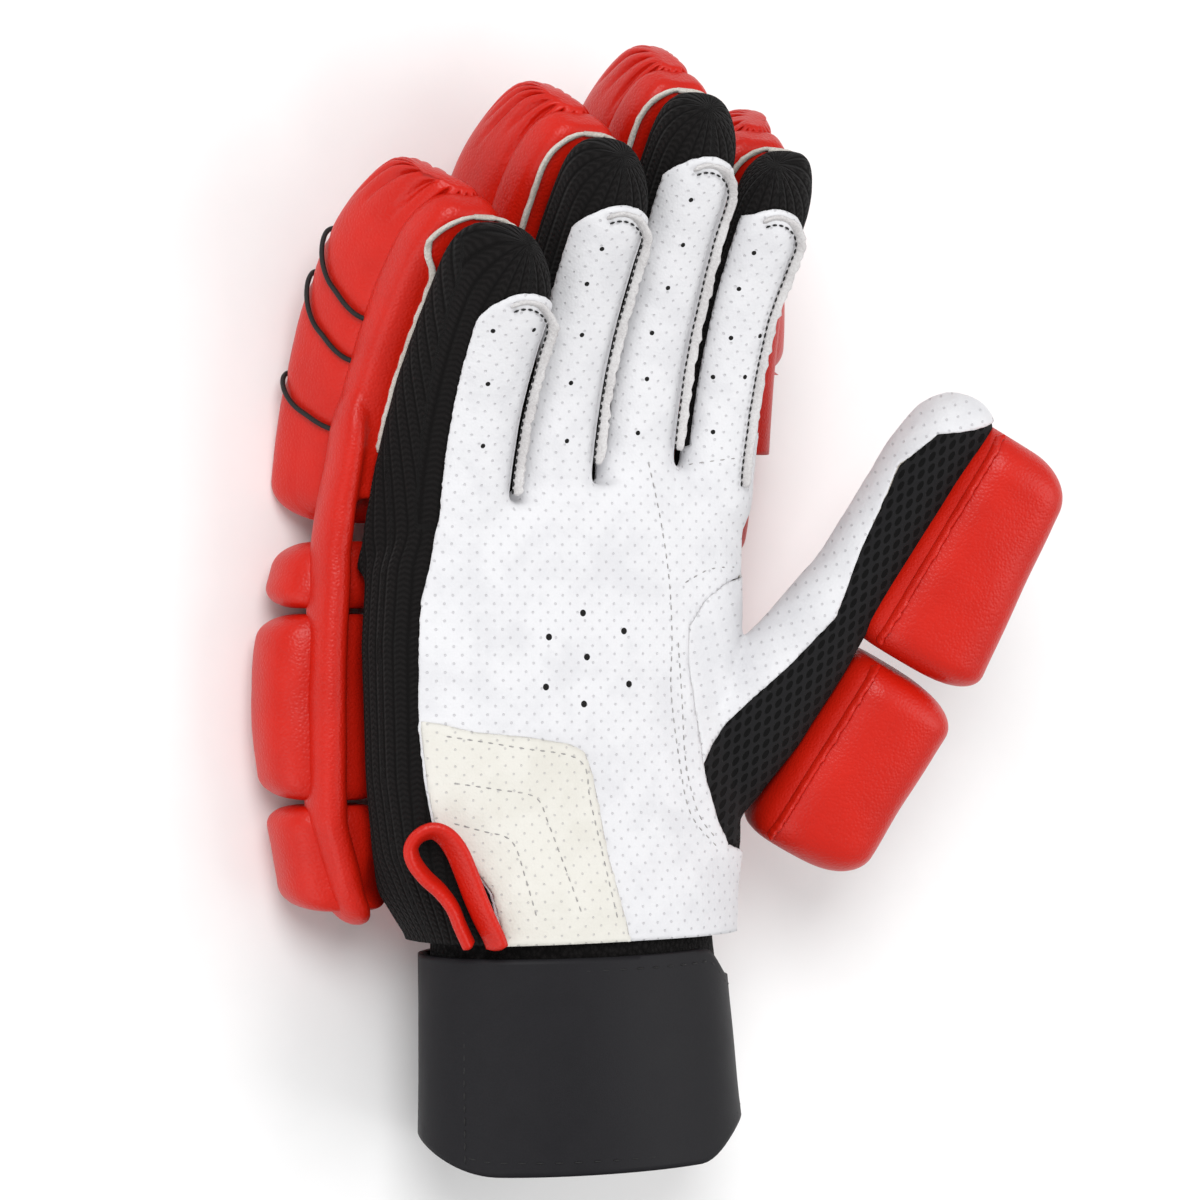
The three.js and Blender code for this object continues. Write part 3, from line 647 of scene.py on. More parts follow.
@dataclass(frozen=True)
class HideFinish:
    """Thin soft leather, with rows of fine holes where it has them."""

    name: str = "white_leather"
    colour: Colour = (0.715, 0.715, 0.735)
    shade: Colour = (0.58, 0.58, 0.605)
    pitch: float = 4.1
    hole: float = 0.34
    hole_colour: Colour = (0.36, 0.35, 0.37)
    rough: float = 0.62

    def make(self) -> bpy.types.Material:
        """Build the material."""
        sh = Shader(self.name)
        where = sh.place()
        crease = sh.noise(where, 85.0, 5.0, 0.6)
        grain = sh.cells(where, 1500.0)
        folds = sh.noise(where, 190.0, 4.0, 0.62)
        height = crease * 1.3 + folds * 0.7 + grain * 0.22
        colour = sh.blend(crease.step(0.32, 0.62), self.shade, self.colour)
        colour = sh.blend(0.55, colour, self.colour)
        x, y, _ = sh.axes(sh.stored("sheet"))
        u, v = x / (self.pitch * MM), y / (self.pitch * MM)
        near = None
        for shift in (0.0, 0.5):
            a, b = (u + shift).part() - 0.5, (v + shift).part() - 0.5
            far = a * a + b * b
            near = far if near is None else near.least(far)
        edge = (self.hole / self.pitch) ** 2
        dot = 1.0 - near.step(edge * 0.35, edge * 1.3)
        height = height - dot * 1.3
        colour = sh.blend(dot * 0.45, colour, self.hole_colour)
        sh.relief(height, 0.5, 0.0005)
        rough = crease * 0.1 + self.rough
        return sh.coat(colour, rough, Specular_IOR_Level=0.32, Sheen_Weight=0.12, Sheen_Roughness=0.5)


class Weave(Enum):
    """How a black fabric is made."""

    RIB = "rib"
    MESH = "mesh"
    TOWEL = "towel"


@dataclass(frozen=True)
class FabricFinish:
    """Black elastic knit, air mesh or towelling."""

    name: str
    weave: Weave
    pitch: float = 3.2
    colour: Colour = (0.0035, 0.003, 0.003)
    light: Colour = (0.011, 0.0098, 0.0098)

    def make(self) -> bpy.types.Material:
        """Build the material."""
        sh = Shader(self.name)
        where = sh.place()
        x, y, _ = sh.axes(sh.stored("sheet"))
        u, v = x / (self.pitch * MM), y / (self.pitch * MM)
        fuzz = sh.noise(where, 1800.0, 3.0, 0.7)
        if self.weave is Weave.RIB:
            across = (u.part() - 0.5).size() * 2.0
            loops = ((v * 2.3 + across * 0.55) * (2 * math.pi)).sine() * 0.5 + 0.5
            rib = 1.0 - across.step(0.55, 1.0)
            height = rib * 1.0 + loops * rib * 0.75 + fuzz * 0.35
            lit = rib * (loops * 0.75 + 0.25)
        elif self.weave is Weave.MESH:
            near = None
            for shift in (0.0, 0.5):
                a, b = (u + shift).part() - 0.5, (v * 0.56 + shift).part() - 0.5
                far = a * a * 1.25 + b * b
                near = far if near is None else near.least(far)
            wall = near.step(0.045, 0.085)
            height = wall * 1.6 + fuzz * 0.3
            lit = wall
        else:
            tuft = sh.cells(where, 900.0)
            height = tuft * 1.4 + fuzz * 0.7
            lit = 1.0 - tuft.step(0.1, 0.8)
        sh.relief(height, 0.7, 0.0007)
        colour = sh.blend(lit * 0.8, self.colour, self.light)
        return sh.coat(colour, 0.9, Specular_IOR_Level=0.12, Sheen_Weight=0.03, Sheen_Roughness=0.5)


@dataclass(frozen=True)
class PlainFinish:
    """A thread, a cord, a raw edge or the strap's smooth hide."""

    name: str
    colour: Colour
    shade: Colour
    rough: float = 0.6
    scale: float = 1400.0
    depth: float = 0.0003
    strength: float = 0.4
    gloss: float = 0.35

    def make(self) -> bpy.types.Material:
        """Build the material."""
        sh = Shader(self.name)
        where = sh.place()
        fine = sh.noise(where, self.scale, 4.0, 0.65)
        wide = sh.noise(where, self.scale / 18, 3.0)
        sh.relief(fine * 0.7 + wide * 0.5, self.strength, self.depth)
        colour = sh.blend((fine * 0.6 + wide * 0.4).step(0.35, 0.65), self.shade, self.colour)
        return sh.coat(colour, wide * 0.12 + (self.rough - 0.06), Specular_IOR_Level=self.gloss)


class Palette:
    """All finishes of the glove, made once."""

    def __init__(self) -> None:
        """Build every material."""
        self.cover = CoverFinish().make()
        self.leather = HideFinish().make()
        self.patch = HideFinish("cream_patch", (0.70, 0.685, 0.635), (0.61, 0.59, 0.53), hole=0.3).make()
        self.rib = FabricFinish("black_rib_knit", Weave.RIB, 3.3).make()
        self.mesh = FabricFinish(
            "black_air_mesh", Weave.MESH, 2.9, (0.0035, 0.0035, 0.0035), (0.016, 0.0155, 0.0165)
        ).make()
        self.towel = FabricFinish("black_towelling", Weave.TOWEL).make()
        self.strap = PlainFinish(
            "charcoal_strap", (0.0095, 0.009, 0.0112), (0.007, 0.0066, 0.0085),
            0.55, 2600.0, 0.00015, 0.35, 0.2,
        ).make()
        self.raw_edge = PlainFinish(
            "raw_leather_edge", (0.70, 0.67, 0.62), (0.5, 0.45, 0.4), 0.85, 1700.0, 0.0006, 0.8, 0.2
        ).make()
        self.raw_white = PlainFinish(
            "raw_white_edge", (0.70, 0.69, 0.69), (0.54, 0.52, 0.52), 0.85, 1700.0, 0.0006, 0.8, 0.2
        ).make()
        self.grey_thread = PlainFinish(
            "grey_thread", (0.42, 0.41, 0.40), (0.25, 0.24, 0.24), 0.6, 4000.0
        ).make()
        self.black_thread = PlainFinish(
            "black_thread", (0.012, 0.012, 0.013), (0.004, 0.004, 0.004), 0.55, 4000.0
        ).make()
        self.cord = PlainFinish(
            "black_cord", (0.014, 0.013, 0.013), (0.004, 0.004, 0.004), 0.55, 2600.0, 0.0004, 0.9
        ).make()
        self.hole = PlainFinish("vent_dark", (0.006, 0.005, 0.005), (0.002, 0.002, 0.002), 0.9).make()
        self.floor = PlainFinish(
            "pale_floor", (0.93, 0.93, 0.93), (0.91, 0.91, 0.91), 0.9, 30.0, 0.0001, 0.02, 0.1
        ).make()


def ride(piece: bpy.types.Object, slot: str, *materials: bpy.types.Material) -> bpy.types.Object:
    """Let a piece ride on the glove, in the finishes given.

    Args:
        piece: The finished piece.
        slot: Not used.
        *materials: Its materials, in the order of its faces' slots.

    Returns:
        The piece.
    """
    for material in materials:
        piece.data.materials.append(material)
    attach(piece, "root")
    LOG.info("%s: %d faces", piece.name, len(piece.data.polygons))
    return piece


@dataclass
class PhotoCamera:
    """The camera, and where its picture's points lie on the glove."""

    aim: Vector = field(default_factory=lambda: Vector((0.0, 0.025, 0.035)))
    distance: float = 0.9
    tilt: float = 30.0
    lens: float = 108.0
    frame_size: float = 1200.0

    def basis(self) -> tuple[Vector, Vector, Vector]:
        """Return the picture's right, its up, and the way back to the camera."""
        tilt = math.radians(self.tilt)
        back = Vector((-math.sin(tilt), 0.0, math.cos(tilt)))
        up = Vector((0.0, 1.0, 0.0))
        return up.cross(back), up, back

    def build(self) -> None:
        """Make the camera and use it."""
        right, up, back = self.basis()
        data = bpy.data.cameras.new("photo_camera")
        data.lens = self.lens
        data.sensor_width = 36.0
        camera = bpy.data.objects.new("photo_camera", data)
        turn = Matrix((right, up, back)).transposed().to_4x4()
        camera.matrix_world = Matrix.Translation(self.aim + back * self.distance) @ turn
        bpy.context.scene.collection.objects.link(camera)
        bpy.context.scene.camera = camera

    def ray(self, x: float, y: float) -> tuple[Vector, Vector]:
        """Return the camera's place and the direction through a point of the picture."""
        right, up, back = self.basis()
        half = 36.0 / self.lens / 2
        u = (x / self.frame_size - 0.5) * 2 * half
        v = (0.5 - y / self.frame_size) * 2 * half
        return self.aim + back * self.distance, (right * u + up * v - back).normalized()

    def on(self, tree: BVHTree, x: float, y: float) -> tuple[Vector, Vector] | None:
        """Return the point and the normal that a point of the picture shows on a surface."""
        origin, direction = self.ray(x, y)
        point, normal, _, _ = tree.ray_cast(origin, direction)
        if point is None:
            return None
        return point, normal if normal.dot(direction) < 0 else -normal

    def on_plane(self, point: Vector, normal: Vector, x: float, y: float) -> Vector:
        """Return where a point of the picture lies on a plane."""
        origin, direction = self.ray(x, y)
        return origin + direction * ((point - origin).dot(normal) / direction.dot(normal))

    def picture(self, points: np.ndarray) -> np.ndarray:
        """Return where points of the hand, in millimetres, lie in the picture."""
        right, up, back = (np.array(v) for v in self.basis())
        away = points * MM - np.array((0.0, REST_LINE * MM, 0.0)) - np.array(self.aim)
        deep = self.distance - away @ back
        scale = self.frame_size * self.lens / 36.0
        return np.stack([
            self.frame_size / 2 + away @ right / deep * scale,
            self.frame_size / 2 - away @ up / deep * scale,
        ], axis=1)


CAMERA = PhotoCamera()


def outline_field(places: np.ndarray, outline: Sequence[tuple[float, float]]) -> np.ndarray:
    """Return how far inside a closed outline places lie.

    Args:
        places: Places in a plane, one a row.
        outline: The outline's corners in their order.

    Returns:
        The distance to the outline, less than nought outside.
    """
    x, y = places.T
    near = np.full(len(places), np.inf)
    inside = np.zeros(len(places), dtype=bool)
    for (ax, ay), (bx, by) in zip(outline, [*outline[1:], outline[0]]):
        ex, ey = bx - ax, by - ay
        t = np.clip(((x - ax) * ex + (y - ay) * ey) / (ex * ex + ey * ey), 0, 1)
        near = np.minimum(near, np.hypot(x - ax - t * ex, y - ay - t * ey))
        if ey != 0:
            crossing = (ay > y) != (by > y)
            inside ^= crossing & (x < ax + (y - ay) / ey * ex)
    return np.where(inside, near, -near)


def surface_tree(*objects: bpy.types.Object) -> BVHTree:
    """Return a search tree over the shown surfaces of some pieces."""
    graph = bpy.context.evaluated_depsgraph_get()
    bm = bmesh.new()
    for piece in objects:
        bm.from_mesh(piece.evaluated_get(graph).to_mesh())
    tree = BVHTree.FromBMesh(bm)
    bm.free()
    return tree


@dataclass(frozen=True)
class Strip:
    """A strip of a rounded flat outline that follows a path, sizes in millimetres."""

    width: float
    wall: float
    square: float = 3.0
    around: int = 10
    ragged: float = 0.0
    end_share: float = 0.45

    def place(self, path: Path, i: int, turn: float) -> Vector:
        """Return the point of the strip at the path's point i, at a turn round it."""
        last = len(path) - 1
        point, wide = path[i]
        along = (path[min(i + 1, last)][0] - path[max(i - 1, 0)][0]).normalized()
        across = (wide - along * wide.dot(along)).normalized()
        thick = along.cross(across)
        section = Section(self.width / 2, self.width / 2, -self.wall / 2, self.wall, self.square)
        side, deep = section.point(turn, self.end_share if i in (0, last) else 1.0)
        p = point / MM
        fray = wobble(p.x, p.y, p.z, 1.1) + 0.6 * wobble(p.y, p.z, p.x, 0.5)
        side += self.ragged * fray * max(0.0, math.cos(turn))
        return point + across * (side * MM) + thick * (deep * MM)

    def form(self, path: Path) -> bmesh.types.BMesh:
        """Bend a cylinder along a path.

        Args:
            path: Points in metres, each with the direction of the strip's width there.

        Returns:
            The strip's mesh.
        """
        last = len(path) - 1
        bm = rod(last, self.around)
        for v in bm.verts:
            turn = math.atan2(v.co.y, v.co.x) - math.pi / 2
            v.co = self.place(path, round((v.co.z + 0.5) * last), turn)
        return bm

    def make(self, name: str, paths: Sequence[Path]) -> bpy.types.Object:
        """Make one piece of strips along paths."""
        mesh = join_forms([self.form(path) for path in paths])
        bm = bmesh.new()
        bm.from_mesh(mesh)
        bpy.data.meshes.remove(mesh)
        bmesh.ops.recalc_face_normals(bm, faces=bm.faces)
        return finish_mesh(bm, name)


@dataclass(frozen=True)
class StitchLine:
    """A run of stitches laid on a surface, sizes in millimetres."""

    pitch: float = 2.4
    length: float = 1.7
    radius: float = 0.27
    lift: float = 0.1

    def stitch(self, start: Vector, end: Vector, normal: Vector) -> Matrix:
        """Return the place, turn and size of the stitch between two points."""
        along = (end - start).normalized()
        across = normal.cross(along).normalized()
        turn = Matrix((along, across, along.cross(across))).transposed().to_4x4()
        size = Matrix.Diagonal((self.length * 0.5 * MM, self.radius * MM, self.radius * MM, 1))
        return Matrix.Translation((start + end) * 0.5 + normal * (self.lift * MM)) @ turn @ size

    def lay(self, name: str, runs: Sequence[Path]) -> bpy.types.Object:
        """Lay stitches along runs of points and normals.

        Args:
            name: The piece's name.
            runs: Points in metres, each with its surface normal, a stitch's pitch apart.

        Returns:
            One piece with all the stitches.
        """
        bm = bmesh.new()
        for run in runs:
            for (start, normal), (end, _) in zip(run, run[1:]):
                if 1e-6 <= (end - start).length <= self.pitch * MM * 3:
                    where = self.stitch(start, end, normal)
                    bmesh.ops.create_uvsphere(bm, u_segments=6, v_segments=4, radius=1, matrix=where)
        return finish_mesh(bm, name)

    def seen(self, tree: BVHTree, points: Sequence[tuple[float, float]]) -> Path:
        """Return a run along picture points on a surface, a pitch apart."""
        places = smooth_path([Vector((x, y, 0)) for x, y in points], self.pitch * PICTURE_SCALE)
        hits = (CAMERA.on(tree, p.x, p.y) for p in places)
        return [hit for hit in hits if hit is not None]


HAND_ROWS = (
    (0.0, -0.375, 0.495, -0.42, 0.5, 0.26, -0.37, 2.5, 1),
    (0.1, -0.4, 0.5, -0.53, 0.51, 0.23, -0.34, 2.6, 1),
    (0.18, -0.44, 0.51, -0.56, 0.54, 0.14, -0.12, 2.7, 1),
    (0.34, -0.49, 0.51, -0.57, 0.56, 0.04, -0.02, 2.9, 1),
    (0.62, -0.505, 0.49, -0.58, 0.585, 0.0, 0.0, 3, 1),
    (0.86, -0.49, 0.5, -0.57, 0.6, -0.02, 0.02, 3, 1),
    (0.97, -0.45, 0.495, -0.52, 0.59, -0.05, 0.06, 2.8, 1),
    (1.0, -0.44, 0.49, -0.5, 0.58, -0.06, 0.08, 2.8, 0.8),
)
LEATHER_ROWS = (
    (-0.03, -0.25, 0.56),
    (0.11, -0.297, 0.56),
    (0.155, -0.333, 0.56),
    (0.187, -0.375, 0.42),
    (0.24, -0.425, 0.382),
    (0.325, -0.445, 0.352),
    (0.44, -0.46, 0.328),
    (0.58, -0.46, 0.298),
    (0.65, -0.458, 0.306),
    (0.7, -0.455, 0.36),
    (0.73, -0.453, 0.44),
    (0.745, -0.452, 0.56),
    (0.88, -0.422, 0.56),
    (0.97, -0.405, 0.56),
    (1.03, -0.402, 0.56),
)
PATCH_OUTLINE = (
    (380, 715), (441, 724), (472, 732), (525, 737), (568, 744), (583, 752), (590, 772), (598, 812),
    (606, 855), (625, 924), (640, 1000), (380, 1000),
)
CROTCHES = (
    (-31.0, 0.985),
    (-8.5, 1.031),
    (15.0, 1.002),
    (30.0, 1.002),
)
THUMB_ROWS = (
    (0.0, -1.3, 0.1, 0.5),
    (0.25, -1.2, 0.3, 0.58),
    (0.43, -0.92, 0.3, 0.54),
    (0.6, -0.74, 0.24, 0.5),
    (0.85, -0.76, 0.26, 0.5),
    (1.0, -0.66, 0.42, 0.48),
)
THUMB_EDGE_ROWS = (
    (-0.2, -1.1),
    (0.17, -1.0),
    (0.285, -0.8),
    (0.38, -0.6),
    (0.51, -0.4),
    (0.65, -0.56),
    (0.83, -0.68),
    (0.92, -0.5),
    (0.965, -0.1),
    (1.0, 0.2),
    (1.1, 0.2),
)


def hand_section(y: float) -> tuple[Section, float]:
    """Return the hand's outline at y, and how full it is there."""
    left, right, back_left, back_right, front, back, square, full = read_rows(
        HAND_ROWS, (y - HAND.wrist_edge) / HAND.palm_length
    )
    high = HAND.palm_height + front * HAND.depth
    low = HAND.block_height + back * HAND.depth
    width = HAND.palm_width
    section = Section(
        (right - left) * width / 2, (back_right - back_left) * width / 2, -high, high - low,
        square, (right + left) * width / 2, (back_right + back_left) * width / 2,
    )
    return section, full


def root_slant(y: float) -> float:
    """Return how far the finger roots slant across the hand at y."""
    return HAND.root_slant * smooth((y - HAND.wrist_edge) / HAND.palm_length, 0.55, 1)


def hand_back(x: float, y: float) -> float:
    """Return the height of the back of the hand over a point below it."""
    section, _ = hand_section(clamp(y, HAND.wrist_edge, HAND.wrist_edge + HAND.palm_length))
    across = abs(x - HAND.palm_centre - section.back_shift) / section.back_half
    facing = (1 - min(across, 1.0) ** section.square) ** (1 / section.square)
    return -(section.start + section.depth * (1 + facing) * 0.5)


class ThumbLine:
    """The straight line of the thumb, from the wrist side of the palm upwards."""

    def __init__(self) -> None:
        """Set the line's root and directions."""
        self.root = Vector((
            HAND.palm_centre + HAND.palm_width * 0.5,
            HAND.wrist_edge + HAND.palm_length * 0.197,
            HAND.block_height + HAND.depth * 0.3,
        ))
        self.forward = Vector((0.41, 0.85, 0.34)).normalized()
        back = Vector((0.85, -0.475, 0.14))
        self.back = (back - self.forward * back.dot(self.forward)).normalized()
        self.side = self.forward.cross(self.back).normalized()

    def point(self, s: float, side: float, deep: float) -> Vector:
        """Return a point beside the line."""
        return self.root + self.forward * s + self.side * side + self.back * deep

    def section(self, s: float) -> Section:
        """Return the thumb's outline at s."""
        front, back, half = read_rows(THUMB_ROWS, s / HAND.thumb_length)
        depth = HAND.thumb_depth
        half *= HAND.thumb_width
        return Section(half, half, front * depth, (back - front) * depth, 2.5)

    def locate(self, points: np.ndarray) -> tuple[np.ndarray, np.ndarray, np.ndarray]:
        """Return how far along, to the side and behind the line points lie."""
        away = points - np.array(self.root)
        return away @ np.array(self.forward), away @ np.array(self.side), away @ np.array(self.back)


THUMB = ThumbLine()


@dataclass
class HandCover:
    """The sewn cover of the hand: leather front, black knit sides, and the thumb's leather and mesh."""

    palette: Palette
    parts: dict[str, bpy.types.Object] = field(default_factory=dict)
    voxel: float = 1.15
    passes: int = 7
    crotch: float = 0.955
    patch_wall: float = 0.9

    def body_warp(self, share: float, turn: float) -> Vector:
        """Bend a cylinder into the hand without its fingers."""
        y = mix(HAND.wrist_edge - 9, HAND.wrist_edge + HAND.palm_length * self.crotch, share)
        section, full = hand_section(y)
        side, deep = section.point(turn, full)
        slant = root_slant(y)
        return Vector((HAND.palm_centre + side, y - slant * HAND.palm_width * 0.12 + side * slant, -deep))

    def finger_warp(self, finger: FingerLine, share: float, turn: float) -> Vector:
        """Bend a cylinder into a finger's sleeve."""
        s = mix(-8, finger.length, spaced(share, 0, 1))
        scale = end_scale(s, -8, finger.length, 0, 10.5, 0.05)
        near = clamp(-s / 6) * HAND.finger_depth * 0.16
        depth = HAND.finger_depth * mix(1.1, 1, clamp(s / finger.length))
        beside = finger.gusset_at(s) * 0.5
        section = Section(
            HAND.finger_width * 0.49, HAND.finger_width * 0.54 + beside, near, depth, 2.6,
            0, finger.lean * HAND.finger_depth * 0.5 - beside,
        )
        side, deep = section.point(turn, scale)
        at, across, back = finger.frame(s)
        return at + across * side + back * deep + finger.ahead(s) * finger.overhang(s, deep, 10.5)

    def thumb_warp(self, share: float, turn: float) -> Vector:
        """Bend a cylinder into the thumb's sleeve."""
        end = HAND.thumb_length + 2
        s = mix(-4, end, spaced(share, 0, 1))
        scale = end_scale(s, -4, end, 0, 12, 0.05)
        side, deep = THUMB.section(s).point(turn, scale)
        return THUMB.point(s, side, deep)

    def whole(self) -> bmesh.types.BMesh:
        """Join palm, fingers and thumb into one smooth skin, open at the wrist."""
        forms = [tube_mesh(60, 56, self.body_warp), tube_mesh(60, 32, self.thumb_warp)]
        for finger in FINGERS:
            forms.append(tube_mesh(48, 32, lambda a, b, f=finger: self.finger_warp(f, a, b)))
        skin = soft_skin(forms, self.voxel, self.passes)
        cut = Vector((0, (HAND.wrist_edge - REST_LINE) * MM, 0))
        bmesh.ops.bisect_plane(
            skin, geom=[*skin.verts, *skin.edges, *skin.faces],
            plane_co=cut, plane_no=Vector((0, 1, 0)), clear_inner=True,
        )
        return skin

    def slanted(self, points: np.ndarray) -> np.ndarray:
        """Return each point's place along the palm, in palm lengths, before the roots' slant."""
        x, y, _ = points.T
        yy = y.copy()
        for _ in range(3):
            share = np.clip(((yy - HAND.wrist_edge) / HAND.palm_length - 0.55) / 0.45, 0, 1)
            slant = HAND.root_slant * share * share * (3 - 2 * share)
            yy = y + slant * (HAND.palm_width * 0.12 - (x - HAND.palm_centre))
        return (yy - HAND.wrist_edge) / HAND.palm_length

    def leather_field(self, points: np.ndarray) -> np.ndarray:
        """Return how far inside the leather palm and finger fronts points lie."""
        x, y, z = points.T
        rows = np.array(LEATHER_ROWS)
        place = self.slanted(points)
        ends = np.array(CROTCHES)
        left = HAND.palm_centre + np.interp(place, rows[:, 0], rows[:, 1]) * HAND.palm_width
        right = HAND.palm_centre + np.interp(place, rows[:, 0], rows[:, 2]) * HAND.palm_width
        low = HAND.palm_height - HAND.depth * 0.28
        end = np.interp(x, ends[:, 0], ends[:, 1])
        palm = np.minimum.reduce([x - left, right - x, z - low, (end - place) * HAND.palm_length])
        best = palm
        for finger in FINGERS:
            s, side, deep = finger.locate(points)
            half = HAND.finger_width * 0.5 - 0.5
            end = finger.length - 3.2 - half
            across = np.maximum(-side, side + finger.trim_at(s))
            flat = half - np.where(s > end, np.hypot(side, s - end), across)
            front = np.minimum.reduce([flat, HAND.finger_depth * 0.22 - deep, s + 6.0, deep + 10.0])
            best = np.maximum(best, front)
        return best

    def thumb_field(self, points: np.ndarray) -> np.ndarray:
        """Return how far inside the thumb's part of the cover points lie."""
        x, _, z = points.T
        rows = [r for r in LEATHER_ROWS if r[2] < 0.5] + [(0.742, 0, 0.612), (1.5, 0, 0.612)]
        rows = np.array(rows)
        place = self.slanted(points)
        left = HAND.palm_centre + np.interp(place, rows[:, 0], rows[:, 2]) * HAND.palm_width
        low = HAND.block_height + HAND.depth * 0.18
        return np.minimum.reduce([x - left, z - low, (place - rows[0, 0]) * HAND.palm_length])

    def edge_field(self, points: np.ndarray) -> np.ndarray:
        """Return how far in front of the thumb's mesh points lie."""
        s, _, deep = THUMB.locate(points)
        rows = np.array(THUMB_EDGE_ROWS)
        return np.interp(s / HAND.thumb_length, rows[:, 0], rows[:, 1]) * HAND.thumb_depth - deep

    def cut_along(self, bm: bmesh.types.BMesh, rule: Field) -> None:
        """Split a mesh's faces along the line where a field is nought."""
        bm.verts.ensure_lookup_table()
        value = dict(zip(bm.verts, rule(hand_points(bm))))
        made = []
        for edge in list(bm.edges):
            a, b = edge.verts
            if (value[a] < 0) == (value[b] < 0):
                continue
            share = clamp(value[a] / (value[a] - value[b]), 0.03, 0.97)
            _, vert = bmesh.utils.edge_split(edge, a, share)
            value[vert] = 0.0
            made.append(vert)
        bmesh.ops.connect_verts(bm, verts=made)

    def keep(self, bm: bmesh.types.BMesh, inside: Callable[[np.ndarray], np.ndarray]) -> bmesh.types.BMesh:
        """Return a copy of a mesh with only the faces whose middle passes a test."""
        part = bm.copy()
        centres = np.array([f.calc_center_median()[:] for f in part.faces]) / MM
        centres[:, 1] += REST_LINE
        wanted = inside(centres)
        bmesh.ops.delete(part, geom=[f for f, keep in zip(part.faces, wanted) if not keep], context="FACES")
        return part

    def store_sheet(self, bm: bmesh.types.BMesh, where: Callable[[np.ndarray], np.ndarray]) -> None:
        """Store each point's place on its flat cloth, in metres."""
        layer = bm.verts.layers.float_vector.new("sheet")
        for vert, value in zip(bm.verts, where(hand_points(bm)) * MM):
            vert[layer] = value

    def palm_sheet(self, points: np.ndarray) -> np.ndarray:
        """Return places on the flat leather of the palm and fingers."""
        out = points.copy()
        out[:, 2] = 0
        middles = np.array([f.frame(0)[0].x for f in FINGERS])
        nearest = np.argmin(np.abs(points[:, :1] - middles), axis=1)
        for i, finger in enumerate(FINGERS):
            s, side, deep = finger.locate(points)
            mine = (nearest == i) & (s > 0)
            wrap = side + np.sign(side) * np.maximum(deep - 1.5, 0) * 0.9
            out[mine, 1] = finger.frame(0)[0].y + s[mine]
            out[mine, 0] = finger.frame(0)[0].x + wrap[mine]
        return out

    def knit_sheet(self, points: np.ndarray) -> np.ndarray:
        """Return places on the knit, with its ribs along the hand and the fingers."""
        out = np.zeros_like(points)
        out[:, 0] = np.arctan2(points[:, 2] - 40.0, (points[:, 0] - HAND.palm_centre) * 0.55) * 34.0
        out[:, 1] = points[:, 1]
        for finger in FINGERS:
            s, side, deep = finger.locate(points)
            mine = (s > 4) & (np.abs(side) < 15) & (deep > -3) & (deep < 24)
            out[mine, 0] = np.arctan2(side[mine], deep[mine] - 10.0) * 10.5
            out[mine, 1] = s[mine]
        return out

    def thumb_sheet(self, points: np.ndarray) -> np.ndarray:
        """Return places on the thumb's mesh and leather."""
        s, side, deep = THUMB.locate(points)
        return np.stack([deep - side * 0.35, s, 0 * s], axis=1)

    def swell(self, bm: bmesh.types.BMesh, amount: float, ragged: float, crease: float) -> None:
        """Move a sheet outwards, fray its edge and press creases into it.

        Args:
            bm: The sheet.
            amount: How far out it goes, in millimetres.
            ragged: How far its cut edge wanders.
            crease: How deep its creases are.
        """
        bm.normal_update()
        moves = []
        for v in bm.verts:
            p = v.co / MM
            folds = wobble(p.x, p.y * 0.55, p.z, 9.0) + 0.5 * wobble(p.x, p.y, p.z, 3.5)
            move = v.normal * (amount + crease * folds)
            if v.is_boundary and abs(p.y + REST_LINE - HAND.wrist_edge) > 0.4:
                out_way = Vector()
                for face in v.link_faces:
                    out_way += v.co - face.calc_center_median()
                if out_way.length > 0:
                    rag = wobble(p.x, p.y, p.z, 1.3) + 0.7 * wobble(p.y, p.z, p.x, 0.7)
                    move += out_way.normalized() * (ragged * rag) - v.normal * (amount * 0.35)
            moves.append((v, move * MM))
        for v, move in moves:
            v.co += move

    def patch_field(self, points: np.ndarray) -> np.ndarray:
        """Return how far inside the heel's patch points lie."""
        drawn = outline_field(CAMERA.picture(points), PATCH_OUTLINE) / PICTURE_SCALE
        return np.minimum(drawn, self.leather_field(points) - 0.5)

    def build_patch(self, skin: bmesh.types.BMesh) -> None:
        """Make the patch on the heel of the palm."""
        part = skin.copy()
        self.cut_along(part, self.patch_field)
        patch = self.keep(part, lambda c: self.patch_field(c) > 0)
        part.free()
        self.store_sheet(patch, self.palm_sheet)
        self.swell(patch, 1.55, 0.05, 0.1)
        bmesh.ops.delete(patch, geom=[v for v in patch.verts if not v.link_faces], context="VERTS")
        piece = finish_mesh(patch, "heel_patch_sheet")
        add_solidify(piece, self.patch_wall)
        ride(piece, "patch", self.palette.patch)
        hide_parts("heel_patch")
        self.parts["heel_patch_sheet"] = piece

    def build(self) -> dict[str, bpy.types.Object]:
        """Make the cover's pieces.

        Returns:
            The pieces by name.
        """
        skin = self.whole()
        self.build_patch(skin)
        for rule in (self.leather_field, self.thumb_field, self.edge_field):
            self.cut_along(skin, rule)
        bmesh.ops.remove_doubles(skin, verts=skin.verts, dist=0.12 * MM)

        def leather(c: np.ndarray) -> np.ndarray:
            """Tell which faces are palm leather."""
            return self.leather_field(c) > 0

        def thumb_leather(c: np.ndarray) -> np.ndarray:
            """Tell which faces are the thumb's leather."""
            return (self.leather_field(c) <= 0) & (self.thumb_field(c) > 0) & (self.edge_field(c) > 0)

        def thumb_mesh(c: np.ndarray) -> np.ndarray:
            """Tell which faces are the thumb's mesh."""
            return (self.leather_field(c) <= 0) & (self.thumb_field(c) > 0) & (self.edge_field(c) <= 0)

        def knit(c: np.ndarray) -> np.ndarray:
            """Tell which faces are knit."""
            return (self.leather_field(c) <= 0) & (self.thumb_field(c) <= 0)

